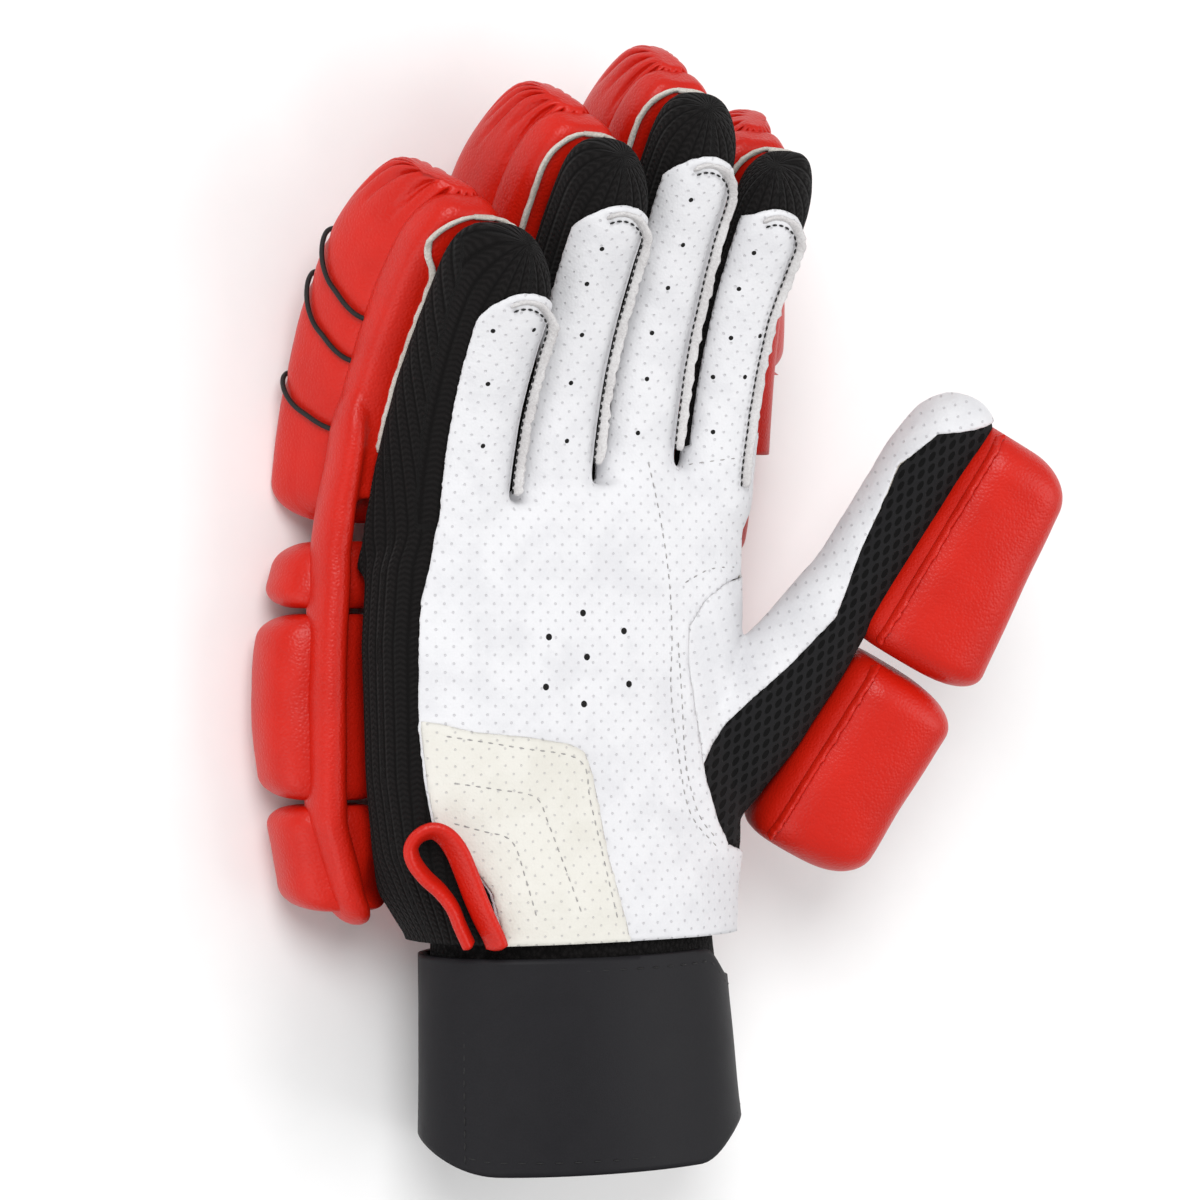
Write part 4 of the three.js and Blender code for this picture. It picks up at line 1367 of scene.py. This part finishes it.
        finish = self.palette
        knit_nodes = ("knit_hand", "knit_little", "knit_ring", "knit_middle", "knit_index")
        plan = (
            ("palm_leather_sheet", leather, self.palm_sheet, (0.75, 0.22, 0.16),
             finish.leather, "leather", ("palm_leather",)),
            ("thumb_leather_sheet", thumb_leather, self.thumb_sheet, (0.5, 0.12, 0.3),
             finish.leather, "leather", ("thumb_leather",)),
            ("thumb_air_mesh", thumb_mesh, self.thumb_sheet, (-0.15, 0.0, 0.12),
             finish.mesh, "mesh", ("thumb_mesh",)),
            ("knit_sides", knit, self.knit_sheet, (-0.2, 0.0, 0.12), finish.rib, "knit", knit_nodes),
        )
        for name, rule, where, (out, ragged, crease), material, slot, nodes in plan:
            part = self.keep(skin, rule)
            self.store_sheet(part, where)
            self.swell(part, out, ragged, crease)
            bmesh.ops.delete(part, geom=[v for v in part.verts if not v.link_faces], context="VERTS")
            piece = finish_mesh(part, name)
            add_solidify(piece, HAND.cover_wall, rim=1 if slot == "leather" else 0)
            ride(piece, slot, material, finish.raw_edge)
            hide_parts(*nodes)
            self.parts[name] = piece
        skin.free()
        return self.parts


PALM_VENTS = ((583, 613), (549, 637), (624, 631), (587, 657), (546, 687), (629, 684), (584, 704))
FINGER_VENTS = (
    (493, 331), (534, 330), (488, 384), (483, 446), (517, 444),
    (602, 249), (587, 284), (582, 335), (571, 383), (567, 441),
    (691, 200), (683, 245), (668, 288), (652, 333), (647, 379), (638, 433),
    (754, 253), (739, 289), (731, 338), (760, 336), (745, 377), (713, 377), (713, 432),
)
PALM_SEAMS = (
    ((648, 460), (660, 517), (669, 578), (672, 639), (671, 692), (680, 765), (691, 815), (718, 848)),
    ((678, 640), (682, 700), (686, 765), (699, 815), (716, 838)),
    ((686, 465), (712, 461), (738, 458)),
    ((683, 584), (710, 569), (738, 567)),
)
PATCH_SEAMS = (
    ((444, 736), (520, 748), (580, 760), (590, 800), (604, 860), (618, 920)),
    ((452, 783), (500, 790), (536, 797), (547, 820), (566, 870), (582, 914)),
    ((452, 823), (485, 832), (512, 841), (526, 880), (537, 918)),
)


@dataclass
class FrontSeams:
    """Seams, raw edges and vents on the palm and the finger fronts."""

    palette: Palette
    parts: dict[str, bpy.types.Object]
    flange: Strip = Strip(2.6, 1.1, 3.0, 10, 0.6)
    edge_stitch: StitchLine = StitchLine(1.9, 1.5, 0.3, 0.25)
    palm_stitch: StitchLine = StitchLine(2.6, 1.5, 0.2, 0.02)
    palm_vent: float = 0.85
    finger_vent: float = 0.6
    vent_depth: float = 0.16

    def __post_init__(self) -> None:
        """Make a search tree of the leather that the seams lie on."""
        names = ("palm_leather_sheet", "heel_patch_sheet", "thumb_leather_sheet")
        self.tree = surface_tree(*(self.parts[name] for name in names))

    def finger_edge(self, finger: FingerLine, inward: float, lift: float) -> Path:
        """Return a path round the right side and the tip of a finger's leather.

        Args:
            finger: The finger.
            inward: How far inside the leather's edge the path lies, in millimetres.
            lift: How far in front of the leather it lies.

        Returns:
            Points in metres, each with the direction out of the seam.
        """
        half = HAND.finger_width * 0.5 - inward
        end = finger.length - 3.2 - HAND.finger_width * 0.5
        rows = [mix(finger.seam, end, i / 50) for i in range(51)]
        places = [(s, half - float(finger.trim_at(s)), 0.0) for s in rows]
        turns = [math.radians(i * 6) for i in range(1, 21)]
        places += [(end + half * math.sin(a), half * math.cos(a), a) for a in turns]
        path = []
        for s, side, angle in places:
            scale = end_scale(s, -8, finger.length, 0, 10.5, 0.05)
            at, across, back = finger.frame(s)
            ahead = finger.frame(s + 0.5)[0] - finger.frame(s - 0.5)[0]
            deep = (1 - scale) * HAND.finger_depth * 0.5 - lift
            bend = 0.35 * wobble(s, finger.x * 50, 0, 6.0)
            out = across * math.cos(angle) + ahead.normalized() * math.sin(angle)
            point = at + across * (side + bend) + back * (deep + bend * 0.5)
            path.append((place_point(point), (out * 0.8 - back * 0.6).normalized()))
        return path

    def build_edges(self) -> None:
        """Make the raw seam edges of the fingers and the black stitches in them."""
        edges, runs = [], []
        camera_way = CAMERA.basis()[2]
        for finger in FINGERS:
            edges.append(self.finger_edge(finger, 1.9, 0.6))
            inner = [point for point, _ in self.finger_edge(finger, 3.3, 0.75)]
            runs.append([(p, camera_way) for p in smooth_path(inner, self.edge_stitch.pitch * MM)])
        ride(self.flange.make("finger_seam_edges", edges), "leather", self.palette.raw_white)
        ride(self.edge_stitch.lay("finger_stitches", runs), "leather", self.palette.black_thread)

    def build_seams(self) -> None:
        """Make the stitch lines on the palm and on the heel's patch."""
        runs = [self.palm_stitch.seen(self.tree, line) for line in (*PALM_SEAMS, *PATCH_SEAMS)]
        ride(self.palm_stitch.lay("palm_stitches", runs), "leather", self.palette.grey_thread)

    def build_vents(self) -> None:
        """Make the vents in the palm and the finger fronts."""
        bm = bmesh.new()
        for wide, places in ((self.palm_vent, PALM_VENTS), (self.finger_vent, FINGER_VENTS)):
            size = Matrix.Diagonal((wide * MM, wide * MM, self.vent_depth * MM, 1))
            for x, y in places:
                hit = CAMERA.on(self.tree, x, y)
                if hit is None:
                    continue
                turn = hit[1].to_track_quat("Z", "Y").to_matrix().to_4x4()
                where = Matrix.Translation(hit[0]) @ turn @ size
                bmesh.ops.create_uvsphere(bm, u_segments=14, v_segments=6, radius=1, matrix=where)
        ride(finish_mesh(bm, "palm_vents"), "leather", self.palette.hole)

    def build(self) -> None:
        """Make all of them."""
        self.build_edges()
        self.build_seams()
        self.build_vents()


@dataclass
class FingerPadding:
    """The band and the roll behind one finger."""

    finger: FingerLine
    palette: Palette
    tip: float = 3.8
    edge_rows: tuple[float, float] = (244.0, 452.0)
    edge_columns: tuple[float, float] = (330.0, 540.0)

    def shift(self, deep: float, s: float) -> float:
        """Return how far to the side the padding leans at a depth."""
        share = clamp(s / self.finger.length)
        return mix(self.finger.lean, self.finger.tip_lean, share * share) * deep

    def taper(self, s: float) -> float:
        """Return how narrow the padding has grown at s."""
        return 1 - 0.2 * clamp(s / self.finger.length) ** 3

    def roll_section(self, s: float) -> Section:
        """Return the roll's outline at s."""
        start = HAND.depth - 4
        end = HAND.finger_depth + HAND.band_height + HAND.roll_height
        width = HAND.roll_width * self.taper(s)
        return Section(
            width * 0.5, width * 0.38, start, end - start,
            2.5, self.shift(start, s), self.shift(end, s), 0.22,
        )

    def band_section(self, s: float) -> Section:
        """Return the band's outline at s."""
        start = HAND.finger_depth + HAND.gap
        depth = HAND.band_height
        return Section(
            HAND.finger_width * 0.56, HAND.roll_width * 0.45 * self.taper(s), start, depth, 3.4,
            self.shift(start, s) - self.finger.gusset_at(s) * 0.7, self.shift(start + depth, s) * 0.88,
        )

    def gather(self, s: float, end: float, turn: float, reach: float) -> float:
        """Return how deep the pleats at the tip press in."""
        seed = self.finger.x * 9
        place = turn / (2 * math.pi) * 16 + 0.4 * math.sin(turn * 2 + seed)
        number = math.floor(place)
        long = reach * (0.62 + 0.38 * wobble(number * 3.7, seed, 0, 1.9))
        near = smooth(s, end - long, end - long * 0.25)
        line = place - number - 0.5 + 0.12 * wobble(s * 0.5, number, seed, 3.0)
        crease = math.exp(-(line / 0.13) ** 2)
        near *= 1 - smooth(s, end - 2.5, end)
        return near * (-0.2 * math.cos(2 * math.pi * line) - crease * 1.5)

    def pinch(self, s: float, turn: float) -> float:
        """Return how deep the cords' pull presses into the little finger's roll."""
        if self.finger.name != "little":
            return 0.0
        deep = 0.0
        for row in CORD_ROWS:
            away = s - cord_place(row, turn)
            deep += math.exp(-(away / 1.3) ** 2)
        return -0.55 * deep * smooth(turn % (2 * math.pi), 2.2, 2.8)

    def soften(self, p: Vector) -> Vector:
        """Keep a point off the surface below."""
        if p.z < 0.15:
            p.z = 0.15
        return p

    def roll_warp(self, share: float, turn: float) -> Vector:
        """Bend a cylinder into the roll."""
        finger = self.finger
        start = finger.along(HAND.wrist_edge + finger.parting * HAND.palm_length) + HAND.roll_gap * 0.5
        end = finger.length + self.tip + 1
        s = mix(start, end, spaced(share, 1, 1))
        scale = end_scale(s, start, end, 6, 29, 0.16)
        at, side, back = finger.frame(s)
        puff = 0.35 * wobble(s * 0.6, turn * 8, finger.x * 40, 7.0)
        grow = puff + self.gather(s, end, turn, 24) + self.pinch(s, turn)
        across, deep = self.roll_section(s).point(turn, scale, grow)
        return self.soften(at + side * across + back * deep)

    def band_warp(self, share: float, turn: float) -> Vector:
        """Bend a cylinder into the band."""
        finger = self.finger
        start = finger.along(HAND.wrist_edge + HAND.palm_length * 0.94 + finger.x * HAND.palm_width * 0.2)
        end = finger.length + self.tip
        s = mix(start, end, spaced(share, 0, 1))
        scale = end_scale(s, start, end, 0, 15, 0.3)
        at, side, back = finger.frame(s)
        puff = 0.25 * wobble(s * 0.6, turn * 6, finger.x * 30, 7.0)
        across, deep = self.band_section(s).point(turn, scale, puff)
        return self.soften(at + side * across + back * deep)

    def seen_edge(self, band: bpy.types.Object, knit: bpy.types.Object, top: Vector) -> Path:
        """Return the path along which the knit hides the band in the picture.

        Args:
            band: The padding behind the knit.
            knit: The knit in front.
            top: The point of the hand, in millimetres, at which the path ends.

        Returns:
            Points in metres, each with the direction out of the seam.
        """
        behind, front = surface_tree(band), surface_tree(knit)
        top_x, top_y = CAMERA.picture(np.array([top]))[0]
        right = CAMERA.basis()[0]
        path, gap = [], None
        for i in range(38):
            y = mix(top_y + 4, self.edge_rows[1], i / 37)
            for k in range(320):
                x = mix(*self.edge_columns, k / 320)
                eye, way = CAMERA.ray(x, y)
                knit_deep, band_deep = front.ray_cast(eye, way)[3], behind.ray_cast(eye, way)[3]
                if knit_deep is not None and (band_deep is None or knit_deep < band_deep):
                    break
            gap = top_x - x if gap is None else gap
            hit = CAMERA.on(behind, x - 1.4 + gap * (1 - smooth(y, top_y, top_y + 40)), y)
            if hit is not None:
                path.append((hit[0] + hit[1] * 0.3 * MM, -right))
        return path[::-1]

    def piping_path(self, padding: bpy.types.Object, cloth: bpy.types.Object) -> Path:
        """Return the path of the raw edge between the band and the knit, round the fingertip.

        Args:
            padding: The band.
            cloth: The knit.

        Returns:
            Points in metres, each with the direction out of the seam.
        """
        finger = self.finger
        start = finger.along(HAND.wrist_edge + HAND.palm_length * 0.94 + finger.x * HAND.palm_width * 0.2)
        end = finger.length + self.tip
        shares = [i / 70 for i in range(71)]
        path = []
        for way, order in ((-1.0, shares), (1.0, shares[:25:-1])):
            for share in order:
                s = mix(start + 1, finger.length - 2.6, spaced(share, 0, 1))
                knit = end_scale(s, -8, finger.length - 2.5, 0, 9.0, 0.0)
                over = finger.overhang(s, HAND.finger_depth)
                band = end_scale(s + over, start, end, 0, 15, 0.3)
                beside = finger.gusset_at(s) * 0.5
                half = (HAND.finger_width * 0.54 + beside) * knit
                shift = finger.lean * HAND.finger_depth * 0.5 - beside
                deep = HAND.finger_depth + HAND.band_height * 0.5 * (1 - band) - 0.5
                at, side, back = finger.frame(s)
                point = at + side * (shift + way * (half + 0.4)) + back * deep + finger.ahead(s) * over
                if finger.name == "little" and not path:
                    if CAMERA.picture(np.array([point]))[0][1] > self.edge_rows[0]:
                        continue
                    path = self.seen_edge(padding, cloth, point)
                path.append((place_point(point), side * way - back * 0.3))
        return path

    def build(self, knit: bpy.types.Object) -> list[bpy.types.Object]:
        """Make the roll and the band behind the knit."""
        name = self.finger.name
        roll = ride(tube(f"roll_pad_{name}", 110, 168, self.roll_warp), "padding", self.palette.cover)
        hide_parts(f"roll_{name}")
        if name == "little":
            bar = tube_mesh(90, 32, BackPadding(self.palette).bar_warp)
            band = finish_mesh(soft_skin([tube_mesh(64, 56, self.band_warp), bar], 0.8, 6), "side_bar_pad")
        else:
            band = tube(f"band_pad_{name}", 64, 56, self.band_warp)
        ride(band, "padding", self.palette.cover)
        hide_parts("side_bar" if name == "little" else f"hood_{name}")
        edge = Strip(1.7, 1.0, ragged=0.35).make(f"raw_edge_{name}", [self.piping_path(band, knit)])
        ride(edge, "leather", self.palette.raw_edge)
        return [roll, band, edge]


CORD_ROWS = ((0.3, 5.5), (0.5, 9.0), (0.625, 8.0))


def cord_place(row: tuple[float, float], turn: float) -> float:
    """Return where along the little finger a cord lies, at a turn round the roll."""
    return row[0] * FINGERS[0].length + row[1] * smooth(turn % (2 * math.pi), 2.5, 4.3)


@dataclass
class RollCords:
    """Three thin cords round the little finger's roll."""

    padding: FingerPadding
    width: float = 1.25
    reach: tuple[float, float] = (138.0, 372.0)

    def route(self, row: tuple[float, float]) -> Path:
        """Return a cord's points, in metres, each with a direction across the cord."""
        path = []
        for i in range(73):
            turn = math.radians(mix(*self.reach, i / 72))
            s = cord_place(row, turn)
            at, side, back = self.padding.finger.frame(s)
            lift = self.width * 0.4 * math.sin(math.pi * clamp(i / 72 * 9, 0, 0.5))
            across, deep = self.padding.roll_section(s).point(turn, 1.0, lift)
            point = self.padding.soften(at + side * across + back * deep)
            path.append((place_point(point), Vector((0, 1, 0))))
        return path

    def build(self) -> None:
        """Make the cords."""
        strip = Strip(self.width, self.width, 2.0, 12)
        for number, row in enumerate(CORD_ROWS, 1):
            cord = strip.make(f"roll_cord_{number}", [self.route(row)])
            ride(cord, "cord", self.padding.palette.cord)
            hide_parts(f"cord_{number}")


BAR_ROWS = (
    (0.03, -0.5, 0.92),
    (0.1, -0.545, 0.98),
    (0.25, -0.6, 1.03),
    (0.5, -0.61, 1.08),
    (0.8, -0.597, 1.1),
    (0.9, -0.588, 1.16),
    (1.0, -0.577, 1.27),
    (1.08, -0.572, 1.33),
    (1.15, -0.56, 1.38),
)


@dataclass(frozen=True)
class BlockColumn:
    """A column of three blocks behind one finger, in shares of the palm's width and length."""

    name: str
    low_x: float
    middle_x: float
    high_x: float
    wrist: float
    back: float
    knuckle: float
    sunk: float = 0.0

    def middle(self, y: float) -> float:
        """Return the column's middle at y, in millimetres."""
        share = (y - HAND.wrist_edge) / HAND.palm_length
        lower = mix(self.low_x, self.middle_x, smooth(share, 0, 0.5))
        return HAND.palm_centre + HAND.palm_width * mix(lower, self.high_x, smooth(share, 0.55, 0.95))


COLUMNS = (
    BlockColumn("little", -0.52, -0.585, -0.495, 0.055, 0.287, 0.686, 0.08),
    BlockColumn("ring", -0.208, -0.24, -0.163, 0.013, 0.275, 0.72),
    BlockColumn("middle", 0.104, 0.104, 0.175, 0.013, 0.275, 0.75),
    BlockColumn("index", 0.41, 0.447, 0.55, 0.06, 0.295, 0.79, 0.06),
)


@dataclass
class BackPadding:
    """The side bar and the blocks under the back of the hand."""

    palette: Palette

    def bar_warp(self, share: float, turn: float) -> Vector:
        """Bend a cylinder into the bar on the little finger side."""
        low = HAND.wrist_edge + HAND.palm_length * BAR_ROWS[0][0]
        high = HAND.wrist_edge + HAND.palm_length * BAR_ROWS[-1][0]
        y = mix(low, high, spaced(share, 1, 1))
        x, z = read_rows(BAR_ROWS, (y - HAND.wrist_edge) / HAND.palm_length)
        scale = end_scale(y, low, high, 6, 16, 0.15)
        half = mix(4.5, 3.7, smooth(y, 90, 120))
        puff = 0.25 * wobble(y * 0.6, turn * 5, 3, 6.0)
        side, deep = Section(half, half, -7, 14, 2.3).point(turn, scale, puff)
        return Vector((HAND.palm_centre + x * HAND.palm_width + side, y, z * HAND.block_height - deep))

    def block_warp(self, column: BlockColumn, low: float, high: float, share: float, turn: float) -> Vector:
        """Bend a cylinder into one block.

        Args:
            column: The block's column.
            low: Where the block starts, in millimetres along the hand.
            high: Where it ends.
            share: Share along the block.
            turn: Turn round it.

        Returns:
            The point, in millimetres.
        """
        y = mix(low, high, spaced(share, 1, 1))
        half = HAND.roll_width * mix(0.44, 0.5, smooth((y - HAND.wrist_edge) / HAND.palm_length, 0, 0.4))
        high_face = HAND.block_height * (1.16 - column.sunk)
        section = Section(half, half * 0.9, -HAND.block_height * 1.12, high_face, 2.6, pivot=0.15)
        scale = end_scale(y, low, high, 6, 6, 0.5)
        puff = 0.3 * wobble(y * 0.6, turn * 6, column.low_x * 30, 7.0)
        side, deep = section.point(turn, scale, puff)
        x = column.middle(y) + side
        top = hand_back(x, y) - 0.4
        return Vector((x, y, max(0.15, min(-deep, top))))

    def build(self) -> list[bpy.types.Object]:
        """Make all the blocks."""
        made = []
        for column, finger in zip(COLUMNS, FINGERS):
            places = (column.wrist, column.back, column.knuckle, finger.parting)
            for name, a, b in zip(("wrist", "back", "knuckle"), places, places[1:]):
                low = HAND.wrist_edge + a * HAND.palm_length + HAND.roll_gap * 0.5
                high = HAND.wrist_edge + b * HAND.palm_length - HAND.roll_gap * 0.5
                piece = tube(
                    f"{name}_pad_{column.name}", 44, 48,
                    lambda s, t, c=column, lo=low, hi=high: self.block_warp(c, lo, hi, s, t),
                )
                ride(piece, "padding", self.palette.cover)
                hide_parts(f"{name}_block_{column.name}")
                made.append(piece)
        return made


@dataclass
class ThumbPad:
    """One of the two pads on the back of the thumb."""

    name: str
    low: float
    high: float
    start: float
    depth: float
    taper: float
    rounding: tuple[float, float]
    palette: Palette
    seam: float = math.radians(141)
    fringe: Strip = Strip(2.6, 1.0, ragged=0.6)

    def warp(self, share: float, turn: float) -> Vector:
        """Bend a cylinder into the pad."""
        low = HAND.thumb_length * self.low + 0.8
        high = HAND.thumb_length * self.high - 0.8
        s = mix(low, high, spaced(share, 1, 1))
        t = clamp((s / HAND.thumb_length - self.low) / (self.high - self.low))
        section = Section(
            HAND.pad_width * 0.44, HAND.pad_width * 0.42, HAND.thumb_depth * self.start,
            HAND.pad_height * self.depth * mix(1, self.taper, t), 2.9, pivot=0.25,
        )
        scale = end_scale(s, low, high, self.rounding[0] + 2, self.rounding[1] + 2, 0.45)
        puff = 0.35 * wobble(s * 0.5, turn * 6, self.low * 50, 8.0)
        side, deep = section.point(turn, scale, puff)
        return THUMB.point(s, side, deep)

    def build(self) -> bpy.types.Object:
        """Make the pad."""
        pad = ride(tube(self.name + "_cover", 72, 64, self.warp), "padding", self.palette.cover)
        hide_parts(self.name)
        self.build_fringe()
        return pad

    def build_fringe(self) -> bpy.types.Object:
        """Make the cut edge where the pad's cover is sewn to the thumb."""
        path = []
        for i in range(61):
            share = mix(0.1, 0.93, i / 60)
            point, middle = self.warp(share, self.seam), self.warp(share, math.pi / 2)
            out = (point - middle).normalized()
            wave = 0.5 * math.sin(i * 1.9 + math.sin(i)) + 0.3 * wobble(i * 0.9, 1, 1, 1.0)
            place = point + out * (0.2 + 0.4 * wave) - THUMB.back * (0.6 + 0.3 * wave)
            path.append((place_point(place), out))
        return ride(self.fringe.make(self.name + "_seam_edge", [path]), "padding", self.palette.cover)


@dataclass
class Wrist:
    """The knit cuff and the strap round it, sizes in millimetres."""

    palette: Palette
    half_width: float = 36.4
    half_depth: float = 20.6
    centre_x: float = -8.4
    centre_z: float = 36.0
    drift: float = 3.0
    flare: float = 3.0
    strap_width: float = 53.3
    strap_wall: float = 2.2
    edge_gap: float = 2.5
    cuff_length: float = 58.0
    cuff_wall: float = 2.0
    tab_start: float = 197.0
    tab_end: float = -20.0
    stitch: StitchLine = StitchLine(3.1, 2.3, 0.28, 0.05)

    @property
    def high(self) -> float:
        """The strap's upper edge."""
        return HAND.wrist_edge - self.edge_gap

    @property
    def low(self) -> float:
        """The strap's lower edge."""
        return self.high - self.strap_width

    def oval(self, y: float, turn: float, out: float) -> Vector:
        """Return a point of the oval tube at y, out millimetres from its skin."""
        share = clamp((HAND.wrist_edge - y) / self.strap_width, 0, 1.2)
        flare = self.flare * share
        return Vector((
            self.centre_x + self.drift * share + (self.half_width + flare + out) * math.cos(turn),
            y,
            self.centre_z + (self.half_depth + flare * 0.5 + out) * math.sin(turn),
        ))

    def cuff_warp(self, share: float, turn: float) -> Vector:
        """Bend a cylinder into the cuff."""
        y = mix(HAND.wrist_edge + 10 - self.cuff_length, HAND.wrist_edge + 9, share)
        return self.oval(y, turn, -0.25 + 0.15 * wobble(turn * 20, y, 0, 4.0))

    def strap_warp(self, share: float, turn: float) -> Vector:
        """Bend a cylinder into the strap."""
        low, high = self.edges(turn)
        y = mix(low, high, share)
        return self.oval(y, turn, 2.5 + 0.25 * wobble(turn * 12, y * 0.5, 2, 9.0))

    def edges(self, turn: float) -> tuple[float, float]:
        """Return the strap's lower and upper edge at a turn round the wrist."""
        c = math.cos(turn)
        left = 60 - abs(math.degrees(turn) % 360 - 200)
        low = self.low + 9.0 * smooth(c, 0.45, 0.98) + 8.5 * smooth(left, 0, 60)
        high = self.high - 1.0 - 8.0 * smooth(c, 0.66, 0.92)
        return low, high

    def tab_warp(self, across: float, along: float, out: float = 0.0) -> Vector:
        """Bend a sheet into the strap's free end over the front."""
        turn = math.radians(mix(self.tab_start, self.tab_end, across))
        reach = across * math.radians(self.tab_start - self.tab_end) * self.half_width
        inside = clamp(1 - reach / 6)
        corner = 5 * (1 - math.sqrt(1 - inside * inside))
        low, high = self.edges(turn)
        y = mix(low + corner * 1.2 + 0.5, high - corner, along)
        puff = 0.35 * wobble(across * 30, y * 0.35, 5, 8.0)
        return self.oval(y, turn, 2.5 + 2.1 + puff + out)

    def tab_run(self, places: Sequence[tuple[float, float]]) -> Path:
        """Return a run of points and normals on the strap's free end.

        Args:
            places: Shares across and along the end, in their order.

        Returns:
            Points in metres, each with the surface's normal.
        """
        flat = [Vector((a * 100, b * 52, 0)) for a, b in places]
        run = []
        for p in smooth_path(flat, self.stitch.pitch):
            a, b = p.x / 100, p.y / 52
            point = self.tab_warp(a, b)
            run.append((place_point(point), (self.tab_warp(a, b, 1.0) - point).normalized()))
        return run

    def build_tab(self) -> bpy.types.Object:
        """Make the strap's free end."""
        bm = bmesh.new()
        bmesh.ops.create_grid(bm, x_segments=90, y_segments=44, size=0.5)
        for v in bm.verts:
            v.co = place_point(self.tab_warp(v.co.x + 0.5, v.co.y + 0.5))
        bmesh.ops.recalc_face_normals(bm, faces=bm.faces)
        if sum(f.normal.z for f in bm.faces) < 0:
            bmesh.ops.reverse_faces(bm, faces=bm.faces)
        tab = finish_mesh(bm, "strap_tab")
        add_solidify(tab, self.strap_wall)
        soft = tab.modifiers.new("soft_edge", "BEVEL")
        soft.width = 0.5 * MM
        soft.segments = 2
        soft.limit_method = "ANGLE"
        return tab

    def build_stitches(self) -> bpy.types.Object:
        """Make the seams along the edges of the strap's free end."""
        seams = (
            ((0.93, 0.07), (0.7, 0.055), (0.4, 0.055), (0.2, 0.06)),
            ((0.2, 0.935), (0.4, 0.94), (0.7, 0.94), (0.93, 0.93)),
            ((0.2, 0.02), (0.2, 0.5), (0.2, 0.98)),
        )
        return self.stitch.lay("strap_stitches", [self.tab_run(seam) for seam in seams])

    def build(self) -> list[bpy.types.Object]:
        """Make the cuff and the strap."""
        cuff = tube("cuff_knit", 60, 96, self.cuff_warp, closed=False)
        add_solidify(cuff, self.cuff_wall)
        ride(cuff, "towelling", self.palette.towel)
        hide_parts("wrist_cuff")
        strap = tube("strap_band", 40, 120, self.strap_warp, closed=False)
        add_solidify(strap, self.strap_wall)
        ride(strap, "strap", self.palette.strap)
        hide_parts("wrist_strap")
        tab = ride(self.build_tab(), "strap", self.palette.strap)
        seams = ride(self.build_stitches(), "strap", self.palette.black_thread)
        return [cuff, strap, tab, seams]


LOOP_ROWS = (
    (470, 948, 12), (460, 926, 12), (452, 907, 12), (440, 891, 14), (425, 877, 16), (414, 862, 18),
    (411, 848, 20), (419, 836, 26), (433, 831, 36), (446, 837, 44), (457, 852, 50), (466, 873, 52),
    (475, 897, 52), (485, 920, 50), (494, 938, 46), (498, 950, 44),
)


@dataclass
class PullLoop:
    """The folded strip at the wrist edge that the glove is pulled on with."""

    palette: Palette
    strip: Strip = Strip(6.6, 2.9, 2.6, 24)

    @property
    def root(self) -> Vector:
        """A point of the loop's plane, in metres."""
        return place_point(Vector((
            HAND.palm_centre - HAND.palm_width * 0.307,
            HAND.wrist_edge,
            HAND.palm_height + HAND.depth * 0.035 + 3.0,
        )))

    @property
    def out(self) -> Vector:
        """The direction out of the loop's plane."""
        return Vector((-0.42, -0.12, 0.9)).normalized()

    def build(self) -> bpy.types.Object:
        """Make the loop."""
        rows = smooth_path([Vector(row) for row in LOOP_ROWS], 3.0)
        points = [CAMERA.on_plane(self.root, self.out, row.x, row.y) for row in rows]
        path = []
        for i, (row, point) in enumerate(zip(rows, points)):
            along = (points[min(i + 1, len(points) - 1)] - points[max(i - 1, 0)]).normalized()
            tilt = Matrix.Rotation(-math.radians(row.z), 3, along)
            path.append((point, tilt @ self.out))
        loop = ride(self.strip.make("pull_loop_strip", [path]), "padding", self.palette.cover)
        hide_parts("pull_loop")
        return loop


@dataclass
class Studio:
    """The floor and the light."""

    palette: Palette
    surroundings: float = 0.5

    def lamp(self, name: str, place: tuple[float, float, float], size: float, power: float) -> None:
        """Hang one soft lamp that shines on the glove."""
        data = bpy.data.lights.new(name, "AREA")
        data.shape = "DISK"
        data.size = size
        data.energy = power
        lamp = bpy.data.objects.new(name, data)
        lamp.location = place
        lamp.rotation_euler = (Vector((0, 0.02, 0.03)) - Vector(place)).to_track_quat("-Z", "Y").to_euler()
        bpy.context.scene.collection.objects.link(lamp)

    def build(self) -> None:
        """Make the floor, the lamps and the pale surroundings."""
        bm = bmesh.new()
        bmesh.ops.create_grid(bm, x_segments=2, y_segments=2, size=4.0)
        floor = finish_mesh(bm, "floor")
        floor.data.materials.append(self.palette.floor)
        self.lamp("key", (-0.5, 0.55, 1.1), 0.7, 9.6)
        self.lamp("fill", (0.75, -0.1, 0.9), 0.9, 5.0)
        self.lamp("low", (-0.9, -0.5, 0.5), 0.8, 3.0)
        world = bpy.data.worlds.new("studio")
        world.use_nodes = True
        ground = world.node_tree.nodes["Background"]
        ground.inputs[0].default_value = (1, 1, 1, 1)
        ground.inputs[1].default_value = self.surroundings
        bpy.context.scene.world = world
        bpy.context.scene.view_settings.view_transform = "Standard"


def main() -> None:
    """Build the glove's sub-assemblies in order."""
    logging.basicConfig(level=logging.INFO, format="%(message)s")
    palette = Palette()
    CAMERA.build()
    parts = HandCover(palette).build()
    FrontSeams(palette, parts).build()
    for finger in FINGERS:
        FingerPadding(finger, palette).build(parts["knit_sides"])
    RollCords(FingerPadding(FINGERS[0], palette)).build()
    BackPadding(palette).build()
    ThumbPad("thumb_base_pad", 0.045, 0.478, 0.22, 1.12, 1.0, (8, 6), palette).build()
    ThumbPad("thumb_tip_pad", 0.49, 0.995, 0.02, 1.28, 0.76, (6, 8), palette).build()
    Wrist(palette).build()
    PullLoop(palette).build()
    Studio(palette).build()


if __name__ == "__main__":
    main()
